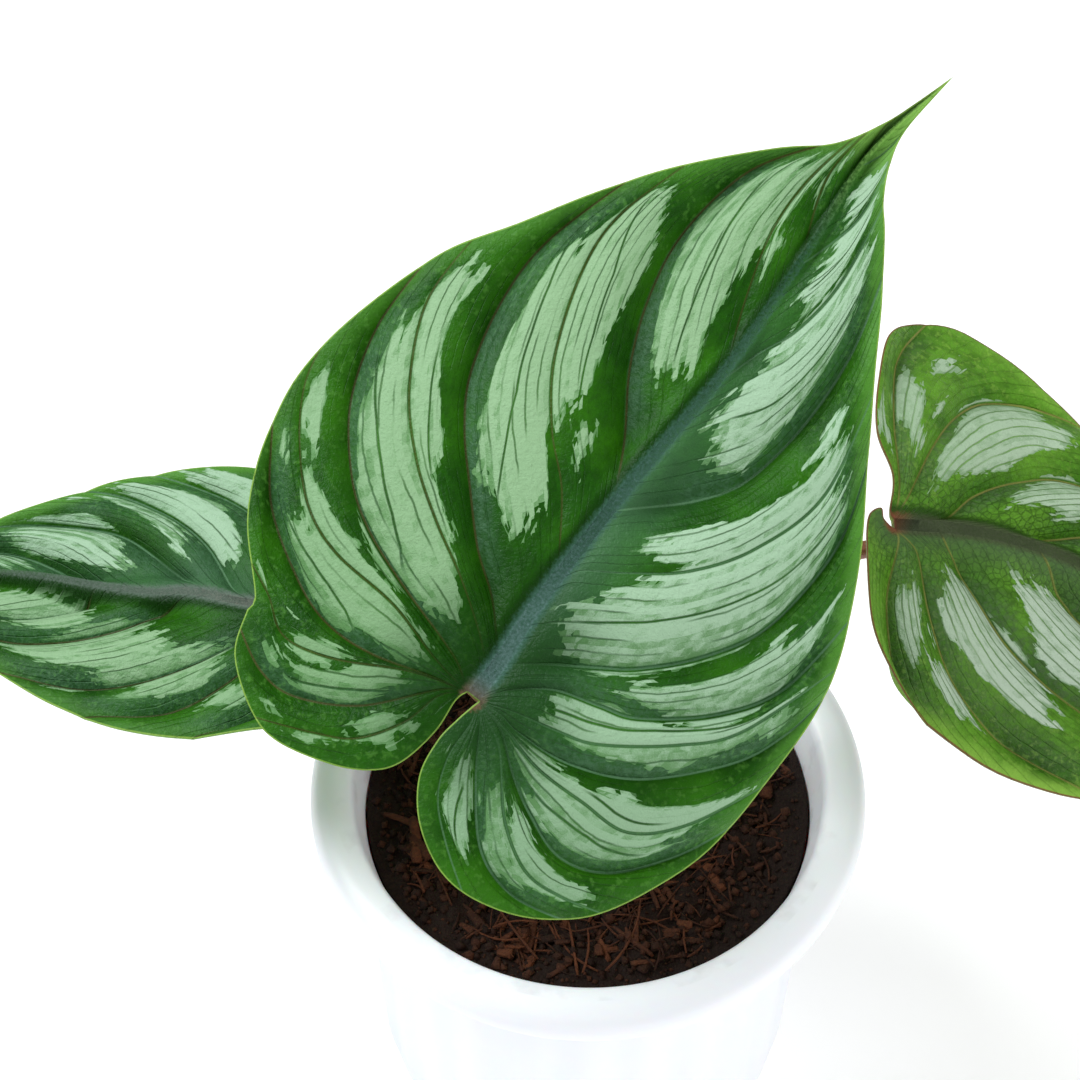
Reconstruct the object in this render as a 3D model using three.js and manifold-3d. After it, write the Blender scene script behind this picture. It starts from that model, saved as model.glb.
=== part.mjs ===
// A potted philodendron with three heart-shaped, silver-veined leaves. Millimetres, +Z up.
// The origin is the centre of the pot's underside. The large blade faces -Y and upward.

import * as THREE from 'three';
import { mergeVertices } from 'three/addons/utils/BufferGeometryUtils.js';
import Module from 'manifold-3d';

const wasm = await Module();
wasm.setup();

// Driving dimensions

const pot = {
  height: 89,
  rimRadius: 58.6,
  rimDepth: 11,          // height of the rolled rim
  lipRadius: 49.3,       // inner edge of the rim
  bodyTopRadius: 48.6,
  baseRadius: 45.2,
  wall: 1.5,
  floor: 2,
  flutes: 24,
  fluteDepth: 0.45,
  segments: 72,
  holes: 8,
  holeRadius: 3.5,
  holeRing: 34,          // radius of the circle of holes
  holeSides: 12,
};

const mix = {
  level: 78.5,           // mean height of the surface
  roughness: 1.1,        // height of the lumps
  gap: 0.3,              // to the pot and the stem
  segments: 24,
  rings: [0.3, 0.55, 0.75, 0.9],
  sticks: 30,
  stickLength: [9, 24],
  stickRadius: [0.9, 1.7],
  stickTaper: 0.8,       // a stick's thin end as a share of its thick one
  stickTilt: 0.14,       // largest slope out of level, in radians
  stickRise: 0.35,       // share of its radius by which a stick's centre stands above the surface
  stickSides: 5,
  seed: 20,
};

const stem = {
  radius: 6.2,
  foot: 52,              // lower end, in the mix
  top: 94,
  scars: [78.5, 87.5],   // heights of the ring scars
  scarSwell: 0.7,
  sides: 16,
  gap: 0.3,              // round each stalk that stands in it
  clearance: 1.3,        // from the stem to the wall of its hole in the mix, past the scars
};

// How a blade is quilted: its veins lie in valleys and the panels between them are crowned.
const quilt = {
  valleyShare: 0.13,     // valley depth as a share of the distance between a vein's neighbours
  minorShare: 0.3,       // how deep a secondary vein is beside a main one
  power: 2.2,            // sharpness of the valleys
  start: 0.14,           // share of a vein's length over which its valley deepens, from the midrib
  marginFade: 0.3,       // what is left of the valleys at the margin
  grooveDepth: 1.3,      // the midrib's groove above
  grooveWidth: 3.5,
  ribDrop: 1.1,          // the midrib's rib below
};

// Each blade lies in its own frame: +Y from the stalk's junction to the tip, +Z out of its upper face.
// Outlines run from the junction round the basal lobe to the tip. Veins run from the midrib outwards.
const mainBlade = {
  junction: [-22.1, -47.1, 184.9],
  heading: 45.6,         // compass angle of the tip, from +X towards +Y
  pitch: 29.2,           // rise of the tip
  roll: 25.5,            // turn about the midrib
  length: 139,
  halfWidth: 55,
  thickness: 0.8,
  ribHalfWidth: 1.3,
  arch: 2.5,             // each half's rise between midrib and margin
  droop: [5, 13],        // fall of the margin, left and right half
  tipFall: 9,
  rowsPerCell: 2,
  midrib: [
    [0, 0], [0, 8], [-1, 21], [-1, 45], [0, 67], [0, 80], [-1.5, 103.5], [-3, 117], [-2.5, 127], [0, 139],
  ],
  left: {
    outline: [
      [-2, -2.5], [-1.5, -9], [-3, -17], [-6.5, -21.5], [-13, -25], [-23, -27.5], [-30, -26],
      [-38.5, -20], [-41.5, -12.5], [-42, -9.5], [-51, -0.5], [-56, 8], [-59, 17], [-60.5, 27.5], [-59, 41],
      [-53.5, 59.5], [-45.5, 72.5], [-37.5, 86], [-29, 98], [-17, 111.5], [-9, 119], [-4.5, 127], [-2, 134],
      [0, 139],
    ],
    sinusEnd: [-23, -27.5],
    veins: [
      { minor: true, path: [[-5, -3.5], [-7, -11], [-12, -18.5], [-19, -22.5], [-28.5, -26.5]] },
      { path: [[-5.5, -2.5], [-15, -13.5], [-25.5, -19.5], [-33, -19.5], [-40.5, -15.5]] },
      { minor: true, path: [[-7, -1.5], [-13.5, -4], [-24.5, -10], [-33.5, -12], [-40, -8], [-46, -5]] },
      { path: [[-8, -1.5], [-19.5, -5], [-29, -5.5], [-38, -2.5], [-50, 5], [-59, 17]] },
      {
        minor: true,
        path: [[-10, 1.5], [-21.5, 4.5], [-35.5, 5.5], [-45, 9.5], [-53.5, 18], [-58.5, 26], [-60.5, 33]],
      },
      {
        path: [
          [-5.5, 3], [-11, 5], [-23, 8.5], [-33.5, 12.5], [-41.5, 18], [-50, 28.5], [-54.5, 42],
          [-54.5, 56],
        ],
      },
      {
        minor: true,
        path: [[-0.5, 5], [-5, 9], [-14.5, 15.5], [-24.5, 21], [-34, 27.5], [-43, 37], [-50, 51], [-50, 65]],
      },
      {
        path: [
          [-0.5, 9], [-8, 16], [-15.5, 21.5], [-23, 29], [-30.5, 37], [-36, 46], [-39.5, 60], [-39.5, 73],
          [-35, 90],
        ],
      },
      { minor: true, path: [[-1, 28], [-10, 39], [-18, 46.5], [-25.5, 57], [-31, 72], [-32, 84], [-28, 99]] },
      { path: [[-1, 44], [-6.5, 53], [-14, 64.5], [-19, 77], [-21, 90], [-18.5, 105], [-11, 117]] },
      { minor: true, path: [[0, 76], [-5, 87], [-8.5, 99], [-9, 110], [-7, 121.5]] },
      { minor: true, path: [[-1.2, 100], [-5.5, 109], [-6.8, 116], [-5.6, 124.5]] },
      { minor: true, path: [[-2.8, 121], [-3.9, 123.5], [-3.9, 127], [-3.4, 130.5]] },
    ],
  },
  right: {
    outline: [
      [0.8, -2], [0.2, -5], [-0.3, -10], [1, -17], [6, -23.5], [14, -28], [22.5, -28.5], [33, -25],
      [42, -17.5], [48.5, -5], [51.5, 5.5], [52, 19], [51.5, 35], [48, 47.5], [40.5, 62], [31.5, 75.5],
      [21.5, 90.5], [15, 101], [8, 111], [4, 116], [1, 122], [-0.5, 129], [0, 139],
    ],
    sinusEnd: [14, -28],
    veins: [
      { minor: true, path: [[2.5, -4], [3, -11], [6, -18], [12, -23.5], [20, -28.6]] },
      { path: [[3, -1.5], [9.5, -11.5], [18, -21], [27, -24], [37, -22]] },
      { minor: true, path: [[4, -1.5], [9.5, -4.5], [18, -14], [26.5, -19], [34, -19], [42, -17]] },
      { path: [[7.5, -1.5], [14, -6.5], [21, -10.5], [30, -13.5], [39, -10.5], [47, -1], [51.5, 9]] },
      { minor: true, path: [[8, -1], [17, -3], [27, -3], [37, -2.5], [45, 5], [52, 19]] },
      { path: [[6, 0.5], [11, 0], [21, 1], [33, 6.5], [45, 19], [49.5, 29], [51, 38]] },
      { minor: true, path: [[8, 2.5], [16, 4.5], [23, 7], [34.5, 15.5], [42.5, 24.5], [49.5, 44]] },
      { path: [[2.5, 2.5], [5.5, 6], [11, 10], [19, 12.5], [26, 15], [37, 24], [44, 35], [46, 52.5]] },
      { path: [[0, 8], [6, 12], [15, 18], [20.5, 22], [28, 30], [34, 40], [36, 51], [35.5, 63], [31, 76.5]] },
      { minor: true, path: [[-1, 27], [2, 30], [8.5, 34.5], [17, 41.5], [24, 52], [28, 67], [24, 87]] },
      { path: [[-1, 42], [3, 45], [10.5, 52.5], [15.5, 61], [17.5, 75], [16.5, 90], [12.5, 105]] },
      { minor: true, path: [[0, 73], [3, 80], [6, 88], [7, 99], [4.5, 115]] },
      { minor: true, path: [[-1.2, 98], [1.3, 104], [2.5, 111], [1.2, 121.5]] },
      { minor: true, path: [[-2.8, 119], [-1.4, 122], [-0.8, 125], [-0.4, 128.5]] },
    ],
  },
};

const leftBlade = {
  junction: [-51.3, 11.2, 135.3],
  heading: 162,
  pitch: -13,
  roll: -5,
  length: 115,
  halfWidth: 38,
  thickness: 0.8,
  ribHalfWidth: 1.1,
  arch: 2,
  droop: [4, 1],
  tipFall: 10,
  rowsPerCell: 4,
  midrib: [[0, 0], [-1.5, 18], [0, 33], [-1, 42], [-0.5, 53], [1, 68], [1.5, 82], [1, 98], [0, 115]],
  left: {
    outline: [
      [-1.8, -5], [-5, -12], [-13, -16.5], [-21, -13], [-26.5, -3], [-29, 8], [-32, 17], [-33.5, 28],
      [-33, 38], [-31, 47.5], [-28.5, 57.5], [-24, 68.5], [-18.5, 79], [-12.5, 89], [-7, 97], [-3, 105],
      [0, 115],
    ],
    sinusEnd: [-5, -12],
    veins: [
      { path: [[-6, -4], [-13, -8.5], [-20, -7], [-27, -1]] },
      { path: [[-9, -0.5], [-18, 1], [-26, 9], [-32.5, 21]] },
      { path: [[-1, 4], [-9, 9], [-19, 17], [-26.5, 28], [-31, 47]] },
      { path: [[-1, 8], [-8, 15.5], [-17, 28.5], [-22, 41], [-24, 55], [-23, 70]] },
      { path: [[-0.5, 33], [-5, 41.5], [-9.5, 49], [-13, 59], [-14.5, 73], [-13, 88]] },
      { path: [[-0.5, 55], [-5, 64], [-8, 76], [-7, 97]] },
      { path: [[0.9, 100], [-0.3, 103], [-1, 106.5], [-1.2, 110]] },
    ],
  },
  right: {
    outline: [
      [1.8, -5], [5, -12], [13, -17], [22, -14], [28.5, -3], [32, 13], [32.5, 30], [30, 46], [26.5, 58],
      [22.5, 68.5], [18.5, 77], [14, 86.5], [9, 95], [4.5, 102], [2, 108], [0, 115],
    ],
    sinusEnd: [5, -12],
    veins: [
      { path: [[8, -5], [17, -8.5], [24, -5], [30.5, 4]] },
      { path: [[11, 2], [21, 7], [28, 16], [32.5, 30]] },
      { path: [[-1, 6], [9, 14], [18, 23], [25, 36], [28, 53]] },
      { path: [[-0.5, 20], [2.5, 25], [12, 34.5], [19, 46], [22.5, 57], [22.5, 68]] },
      { path: [[0, 31], [6.5, 41.5], [13, 54], [15, 64], [15, 76], [12, 91]] },
      { path: [[0.5, 58], [6, 70], [8.5, 84], [5, 101]] },
      { path: [[0.9, 100], [1.7, 103], [1.9, 106.5], [1.4, 110]] },
    ],
  },
};

const rightBlade = {
  junction: [60.9, 19.7, 150.8],
  heading: -12,
  pitch: -22,
  roll: 10,
  length: 122,
  halfWidth: 48,
  thickness: 0.8,
  ribHalfWidth: 1.2,
  arch: 3,
  droop: [6, 8],
  tipFall: 10,
  rowsPerCell: 4,
  midrib: [
    [0, 0], [-4, 11.5], [-6.5, 21.5], [-8, 31.5], [-8.5, 42], [-8, 62], [-5.5, 85], [-2.5, 104], [0, 122],
  ],
  left: {
    outline: [
      [-2.5, -2], [-9, -4], [-16.5, -9.5], [-28, -11.5], [-42.5, -10.5], [-50.5, -3.5], [-53.5, 4],
      [-52.5, 12], [-50.5, 20], [-47, 28], [-38, 45], [-30.5, 60], [-23, 75], [-15, 90], [-9, 101],
      [-4, 110], [0, 122],
    ],
    sinusEnd: [-42.5, -10.5],
    veins: [
      { path: [[-7, -1.5], [-20.5, -5.5], [-33, -7], [-42, -6], [-51.5, -2]] },
      { path: [[-7, 1], [-19.5, 3.5], [-30, 7.5], [-38.5, 14], [-43, 23.5], [-42.5, 36.5]] },
      { path: [[-2, 5], [-6.5, 10.5], [-14.5, 15.5], [-22.5, 24.5], [-28.5, 36], [-30.5, 59]] },
      { path: [[-7, 26], [-13, 34], [-19, 45], [-22, 58], [-20.5, 80]] },
      { path: [[-8.5, 50], [-12.5, 61], [-14.5, 76], [-11, 97]] },
      { path: [[-2.6, 103], [-3.5, 106.5], [-3.4, 110], [-2.6, 114]] },
    ],
  },
  right: {
    outline: [
      [0.2, -2.5], [-1.5, -4], [1, -6], [7.5, -5.5], [18, -2.5], [25, 1], [30.5, 7], [35.5, 15.5],
      [38.5, 25], [40, 34], [39.5, 44], [37.5, 54], [33, 66], [26, 79], [18, 91], [10, 102], [5, 110],
      [0, 122],
    ],
    sinusEnd: [18, -2.5],
    veins: [
      { path: [[4, 1.5], [15.5, 2.5], [24.5, 6.5], [31, 11], [36.5, 18]] },
      { path: [[2.5, 3], [5.5, 6.5], [15.5, 11.5], [25.5, 20], [31.5, 31.5], [34, 43], [36, 58]] },
      { path: [[-4, 9], [-1.5, 10.5], [7, 21], [14.5, 31], [19.5, 45.5], [21.5, 62], [23.5, 83]] },
      { path: [[-8, 31], [-2, 40], [4, 52], [8, 68], [12, 99]] },
      { path: [[-8.5, 55], [-3, 68], [1, 82], [7, 106]] },
      { path: [[-2.5, 104], [-0.7, 108], [0.6, 112], [1.3, 116.5]] },
    ],
  },
};

// Each stalk: the points its centre passes, from the stem to just under the blade, and its two radii.
const stalks = {
  main: { path: [[-1, -4, 84], [-4, -9, 104], [-9, -21, 135], [-17, -37, 164]], radii: [3.6, 1.9] },
  left: { path: [[-4.5, 2.5, 84], [-13, 5, 97], [-28, 9, 116], [-42, 11, 128]], radii: [3, 1.5] },
  right: { path: [[4, 2.5, 84], [13, 6, 100], [31, 12, 123], [48, 17, 142]], radii: [3.2, 1.7] },
};
const stalkShape = {
  steps: 18,
  sides: 10,
  flat: 0.78,            // distance of the flat side from the centre, as a share of the radius
  taper: 0.6,            // power of the thinning: below 1, the stalk is stout only near its foot
  gap: 0.35,             // between a stalk's end and the blade's underside
  neck: 7,               // the last straight stretch, square to the blade
  inset: 2.2,            // from the junction towards the tip, to the middle of the stalk's end
};
const junctionShare = 0.03;   // a vein that starts on this first share of the midrib starts at the junction

// Helpers

const lerp = THREE.MathUtils.lerp;
const smooth = THREE.MathUtils.smoothstep;

function seededRandom(seed) {
  let state = seed;
  return () => {
    state = (state * 1664525 + 1013904223) % 4294967296;
    return state / 4294967296;
  };
}

function closedGeometry(geometry) {
  geometry.deleteAttribute('normal');
  geometry.deleteAttribute('uv');
  return mergeVertices(geometry, 1e-4);
}

function toSolid(geometry) {
  const closed = closedGeometry(geometry.clone());
  return new wasm.Manifold(new wasm.Mesh({
    numProp: 3,
    vertProperties: new Float32Array(closed.getAttribute('position').array),
    triVerts: new Uint32Array(closed.index.array),
  }));
}

function fromSolid(solid) {
  const mesh = solid.getMesh();
  const geometry = new THREE.BufferGeometry();
  geometry.setAttribute('position', new THREE.BufferAttribute(mesh.vertProperties, 3));
  geometry.setIndex(new THREE.BufferAttribute(mesh.triVerts, 1));
  return geometry;
}

// The largest of a geometry's separate shells: drops the walls of sealed hollows and any loose scrap.
function outerShell(geometry) {
  const index = geometry.index.array;
  const parent = Array.from({ length: geometry.getAttribute('position').count }, (_, i) => i);
  const root = (start) => {
    let i = start;
    while (parent[i] !== i) {
      parent[i] = parent[parent[i]];
      i = parent[i];
    }
    return i;
  };
  for (let i = 0; i < index.length; i += 3) {
    parent[root(index[i + 1])] = root(index[i]);
    parent[root(index[i + 2])] = root(index[i]);
  }
  const shells = new Map();
  for (let i = 0; i < index.length; i += 3) {
    const key = root(index[i]);
    if (!shells.has(key)) shells.set(key, []);
    shells.get(key).push(index[i], index[i + 1], index[i + 2]);
  }
  const largest = [...shells.values()].sort((a, b) => b.length - a.length)[0];
  return geometry.setIndex(largest);
}

function namedMesh(name, geometry, material) {
  const mesh = new THREE.Mesh(geometry, material);
  mesh.name = name;
  return mesh;
}

// A drum of the given radii along Z, from one height to another.
function drum(topRadius, footRadius, foot, top, sides) {
  const geometry = new THREE.CylinderGeometry(topRadius, footRadius, top - foot, sides);
  return geometry.rotateX(Math.PI / 2).translate(0, 0, (foot + top) / 2);
}

// A lathe profile is drawn in (radius, height); the lathe's own axis is Y, so it is stood up along Z.
function lathed(profile, segments) {
  const points = profile.map(([radius, height]) => new THREE.Vector2(radius, height));
  return closedGeometry(new THREE.LatheGeometry(points, segments)).rotateX(Math.PI / 2);
}

// Pot: a thin moulded body with shallow flutes, a rolled rim with an open channel below, and a holed floor

function potGeometry() {
  const rimFoot = pot.height - pot.rimDepth;
  const skirtRadius = pot.rimRadius - 2.2;
  const inner = pot.baseRadius - pot.wall;
  const geometry = lathed([
    [0, 0],
    [pot.baseRadius - 1.4, 0],
    [pot.baseRadius, 1.4],
    [pot.bodyTopRadius, rimFoot],
    [pot.bodyTopRadius + 0.5, rimFoot + 6],
    [pot.lipRadius + 1.6, rimFoot + 7.8],
    [skirtRadius - 2.6, rimFoot + 7.8],
    [skirtRadius - 1.5, rimFoot + 6],
    [skirtRadius - 1.5, rimFoot],
    [skirtRadius, rimFoot],
    [pot.rimRadius - 0.5, rimFoot + 3],
    [pot.rimRadius, rimFoot + 6.5],
    [pot.rimRadius - 1.2, rimFoot + 9.2],
    [pot.rimRadius - 3.8, pot.height - 0.2],
    [pot.lipRadius + 3, pot.height],
    [pot.lipRadius + 0.8, pot.height - 0.6],
    [pot.lipRadius, pot.height - 2],
    [pot.bodyTopRadius - pot.wall, rimFoot],
    [inner - 0.2, pot.floor + 1.2],
    [inner - 1.4, pot.floor],
    [0, pot.floor],
  ], pot.segments);
  // The flutes press the body's wall in and out, from its foot to the rim.
  const position = geometry.getAttribute('position');
  for (let i = 0; i < position.count; i += 1) {
    const x = position.getX(i);
    const y = position.getY(i);
    const z = position.getZ(i);
    const radius = Math.hypot(x, y);
    const onBody = radius > pot.baseRadius - 0.1 && radius < pot.bodyTopRadius + 0.1 && z <= rimFoot;
    if (onBody) {
      const push = 1 + (pot.fluteDepth / radius) * Math.cos(pot.flutes * Math.atan2(y, x));
      position.setXY(i, x * push, y * push);
    }
  }
  let solid = toSolid(geometry);
  for (let i = 0; i < pot.holes; i += 1) {
    const angle = ((i + 0.5) / pot.holes) * 2 * Math.PI;
    const hole = drum(pot.holeRadius, pot.holeRadius, -pot.floor, pot.floor * 2, pot.holeSides);
    hole.translate(pot.holeRing * Math.cos(angle), pot.holeRing * Math.sin(angle), 0);
    solid = solid.subtract(toSolid(hole));
  }
  return fromSolid(solid);
}

// Potting mix: a plug with a lumpy top, sticks of bark and coir sunk in it, and a plain hole for the stem

function potInnerRadius(z) {
  const share = z / (pot.height - pot.rimDepth);
  return lerp(pot.baseRadius - pot.wall - 0.2, pot.bodyTopRadius - pot.wall, share);
}

function mixGeometry() {
  const random = seededRandom(mix.seed);
  const foot = pot.floor + mix.gap;
  const edge = potInnerRadius(mix.level) - mix.gap - 0.1;
  const geometry = lathed([
    [0, foot],
    [pot.baseRadius - pot.wall - 3, foot],
    [potInnerRadius(foot + 4) - mix.gap, foot + 4],
    [edge, mix.level - 1],
    ...mix.rings.toReversed().map((share) => [edge * share, mix.level]),
    [0, mix.level],
  ], mix.segments);
  const position = geometry.getAttribute('position');
  for (let i = 0; i < position.count; i += 1) {
    if (position.getZ(i) > mix.level - 0.5) {
      position.setZ(i, mix.level + (random() * 2 - 1) * mix.roughness);
    }
  }
  let solid = toSolid(geometry);
  for (let i = 0; i < mix.sticks; i += 1) {
    const length = lerp(...mix.stickLength, random());
    const radius = lerp(...mix.stickRadius, random());
    const reach = edge - length / 2 - 1.5;
    const distance = lerp(stem.radius + 5, reach, Math.sqrt(random()));
    const angle = random() * 2 * Math.PI;
    const stick = new THREE.CylinderGeometry(radius * mix.stickTaper, radius, length, mix.stickSides);
    stick.rotateX(lerp(-mix.stickTilt, mix.stickTilt, random()));
    stick.rotateZ(random() * Math.PI);
    const rise = radius * mix.stickRise;
    stick.translate(distance * Math.cos(angle), distance * Math.sin(angle), mix.level + rise);
    solid = solid.add(toSolid(stick));
  }
  const holeRadius = stem.radius + stem.clearance;
  const hole = drum(holeRadius, holeRadius, stem.foot - mix.gap, pot.height, mix.segments);
  return outerShell(fromSolid(solid.subtract(toSolid(hole))));
}

// Stalks: a straight extrusion of a D-shaped section, tapered and bent along the stalk's curve.
// With a swell it is the stalk's socket in the stem, wider and deeper by that much.

function stalkGeometry(stalk, neck, swell = 0) {
  const { steps, sides, flat, taper } = stalkShape;
  const points = [...stalk.path.map((point) => new THREE.Vector3(...point)), ...neck];
  points[0].z -= swell;
  const curve = new THREE.CatmullRomCurve3(points, false, 'centripetal');
  const frames = curve.computeFrenetFrames(steps);
  const section = new THREE.Shape(Array.from({ length: sides }, (_, i) => {
    const angle = (i / sides) * 2 * Math.PI;
    return new THREE.Vector2(Math.cos(angle), Math.max(Math.sin(angle), -flat));
  }));
  const geometry = new THREE.ExtrudeGeometry(section, { depth: 1, steps, bevelEnabled: false });
  const position = geometry.getAttribute('position');
  for (let i = 0; i < position.count; i += 1) {
    const share = position.getZ(i);
    const station = Math.round(share * steps);
    const radius = lerp(...stalk.radii, share ** taper) + swell;
    const point = curve.getPointAt(share)
      .addScaledVector(frames.normals[station], position.getX(i) * radius)
      .addScaledVector(frames.binormals[station], position.getY(i) * radius);
    position.setXYZ(i, point.x, point.y, point.z);
  }
  return closedGeometry(geometry);
}

// Stem: a short upright stem with two ring scars, cut where the stalks stand in it

function stemGeometry(sockets) {
  const r = stem.radius;
  const geometry = lathed([
    [0, stem.foot],
    [r - 1, stem.foot],
    [r, stem.foot + 2],
    ...stem.scars.flatMap((height) => [[r, height - 1.5], [r + stem.scarSwell, height], [r, height + 1.5]]),
    [r - 0.8, stem.top - 2.5],
    [r - 2.6, stem.top - 0.6],
    [0, stem.top],
  ], stem.sides);
  return fromSolid(sockets.reduce((solid, socket) => solid.subtract(socket), toSolid(geometry)));
}

// Blades

function splineThrough(points) {
  return new THREE.SplineCurve(points.map(([x, y]) => new THREE.Vector2(x, y)));
}

// The share of a curve's length at which it passes closest to a point.
function nearestShare(curve, point) {
  const trials = 500;
  let best = 0;
  for (let i = 1; i <= trials; i += 1) {
    const here = curve.getPointAt(i / trials).distanceTo(point);
    if (here < curve.getPointAt(best / trials).distanceTo(point)) best = i;
  }
  return best / trials;
}

// One half of a blade as a fan of curves from the midrib to the margin: the sinus edge, the veins, the tip.
function bladeHalf(blade, half, side) {
  const midrib = splineThrough(blade.midrib);
  const ribEdge = (share) => {
    const tangent = midrib.getTangentAt(share);
    const offset = side * blade.ribHalfWidth * (1 - share) ** 0.7;
    return midrib.getPointAt(share).add(new THREE.Vector2(tangent.y, -tangent.x).multiplyScalar(offset));
  };
  const outline = splineThrough([ribEdge(0).toArray(), ...half.outline]);
  const sinusShare = nearestShare(outline, new THREE.Vector2(...half.sinusEnd));
  const curves = [{ from: 0, to: sinusShare, sink: 0, at: (w) => outline.getPointAt(w * sinusShare) }];
  for (const vein of half.veins) {
    const points = vein.path.map(([x, y]) => new THREE.Vector2(x, y));
    const nearest = nearestShare(midrib, points[0]);
    const fromJunction = nearest < junctionShare;
    const from = fromJunction ? 0 : nearest;
    const to = nearestShare(outline, points.at(-1));
    // A vein from the junction keeps its first point; one from the midrib has that point moved onto it.
    const inner = fromJunction ? points.slice(0, -1) : points.slice(1, -1);
    const curve = new THREE.SplineCurve([ribEdge(from), ...inner, outline.getPointAt(to)]);
    const sink = vein.minor ? quilt.minorShare : 1;
    curves.push({ from, to, sink, at: (w) => curve.getPointAt(w) });
  }
  curves.push({ from: 1, to: 1, sink: 0, at: () => midrib.getPointAt(1) });
  return { blade, side, outline, ribEdge, curves };
}

// A point of the half: v counts the curves of the fan, and w runs from the midrib (0) to the margin (1).
function fanPoint(half, v, w) {
  const k = Math.min(Math.floor(v), half.curves.length - 2);
  const f = v - k;
  const a = half.curves[k];
  const b = half.curves[k + 1];
  const point = a.at(w).lerp(b.at(w), f);
  const ribMiss = half.ribEdge(lerp(a.from, b.from, f)).sub(a.at(0).lerp(b.at(0), f));
  const rimMiss = half.outline.getPointAt(lerp(a.to, b.to, f)).sub(a.at(1).lerp(b.at(1), f));
  return point.addScaledVector(ribMiss, (1 - w) ** 2).addScaledVector(rimMiss, w ** 2);
}

function valleyDepth(half, k, w) {
  const before = half.curves[Math.max(k - 1, 0)].at(w);
  const after = half.curves[Math.min(k + 1, half.curves.length - 1)].at(w);
  const fade = smooth(w, 0, quilt.start) * (1 - (1 - quilt.marginFade) * smooth(w, 0.65, 1));
  return half.curves[k].sink * quilt.valleyShare * before.distanceTo(after) * fade;
}

// Height of the upper face above the blade's own plane.
function bladeHeight(half, v, w, point) {
  const { blade } = half;
  const k = Math.min(Math.floor(v), half.curves.length - 2);
  const f = v - k;
  let height = -valleyDepth(half, k, w) * (1 - f) ** quilt.power;
  height -= valleyDepth(half, k + 1, w) * f ** quilt.power;
  const onRib = fanPoint(half, v, 0);
  const along = THREE.MathUtils.clamp(point.y / blade.length, 0, 1);
  const groove = Math.exp(-((point.distanceTo(onRib) / quilt.grooveWidth) ** 2));
  height -= quilt.grooveDepth * (1 - along) ** 0.5 * groove;
  const across = Math.abs(point.x) / blade.halfWidth;
  const inside = Math.min(across, 1);
  height += blade.arch * 4 * inside * (1 - inside);
  height -= blade.droop[half.side < 0 ? 0 : 1] * across ** 2;
  return height - blade.tipFall * (point.y / blade.length) ** 2;
}

// Where a blade's rows of triangles are divided, from the midrib to the margin.
const columns = [0, 0.04, 0.1, 0.18, 0.27, 0.37, 0.47, 0.57, 0.67, 0.77, 0.86, 0.94, 1];

// The blade as one closed body: a sheet of triangles, the same sheet again below, and a wall round its edge.
function bladeGeometry(blade) {
  const top = [];
  const bottom = [];
  const sheet = [];
  const addVertex = (point, height, drop) => {
    top.push([point.x, point.y, height]);
    bottom.push([point.x, point.y, height - drop]);
    return top.length - 1;
  };
  const ribDrop = (share) => blade.thickness + quilt.ribDrop * (1 - share) ** 0.7;
  const tip = new THREE.Vector2(...blade.midrib.at(-1));
  const ribSides = [-1, 1].map((side) => {
    const half = bladeHalf(blade, side < 0 ? blade.left : blade.right, side);
    const last = (half.curves.length - 2) * blade.rowsPerCell;
    const rib = [];
    const rows = [];
    for (let row = 0; row <= last; row += 1) {
      const v = row / blade.rowsPerCell;
      const k = Math.floor(v);
      const share = lerp(half.curves[k].from, half.curves[k + 1].from, v - k);
      if (rib.length === 0 || share > rib.at(-1).share) {
        const point = fanPoint(half, v, 0);
        rib.push({ share, index: addVertex(point, bladeHeight(half, v, 0, point), ribDrop(share)) });
      }
      rows.push(columns.map((w, i) => {
        if (i === 0) return rib.at(-1).index;
        const point = fanPoint(half, v, w);
        return addVertex(point, bladeHeight(half, v, w, point), blade.thickness);
      }));
    }
    return { side, half, rib, rows };
  });
  const tipHeight = bladeHeight(ribSides[0].half, ribSides[0].half.curves.length - 1, 0, tip);
  const tipIndex = addVertex(tip, tipHeight, blade.thickness);
  const addTriangle = (a, b, c, flip) => {
    if (a !== b && b !== c && c !== a) sheet.push(flip ? [a, c, b] : [a, b, c]);
  };
  for (const { side, rib, rows } of ribSides) {
    rows.push(columns.map(() => tipIndex));
    rib.push({ share: 1, index: tipIndex });
    for (let row = 0; row + 1 < rows.length; row += 1) {
      for (let i = 0; i + 1 < columns.length; i += 1) {
        addTriangle(rows[row][i], rows[row][i + 1], rows[row + 1][i], side < 0);
        addTriangle(rows[row + 1][i], rows[row][i + 1], rows[row + 1][i + 1], side < 0);
      }
    }
  }
  // The midrib's own strip is laced between the two halves, which reach it at different places.
  const [left, right] = ribSides.map(({ rib }) => rib);
  let l = 0;
  let r = 0;
  while (l + 1 < left.length || r + 1 < right.length) {
    const leftNext = l + 1 < left.length ? left[l + 1].share : Infinity;
    const rightNext = r + 1 < right.length ? right[r + 1].share : Infinity;
    if (leftNext < rightNext) {
      addTriangle(left[l].index, right[r].index, left[l + 1].index, false);
      l += 1;
    } else {
      addTriangle(left[l].index, right[r].index, right[r + 1].index, false);
      r += 1;
    }
  }
  const count = top.length;
  const faces = sheet.flatMap(([a, b, c]) => [a, b, c, c + count, b + count, a + count]);
  const edges = new Set(sheet.flatMap(([a, b, c]) => [`${a},${b}`, `${b},${c}`, `${c},${a}`]));
  for (const edge of edges) {
    const [a, b] = edge.split(',').map(Number);
    if (!edges.has(`${b},${a}`)) faces.push(b, a, a + count, b, a + count, b + count);
  }
  const geometry = new THREE.BufferGeometry();
  geometry.setAttribute('position', new THREE.Float32BufferAttribute([...top, ...bottom].flat(), 3));
  geometry.setIndex(faces);
  return geometry;
}

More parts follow.
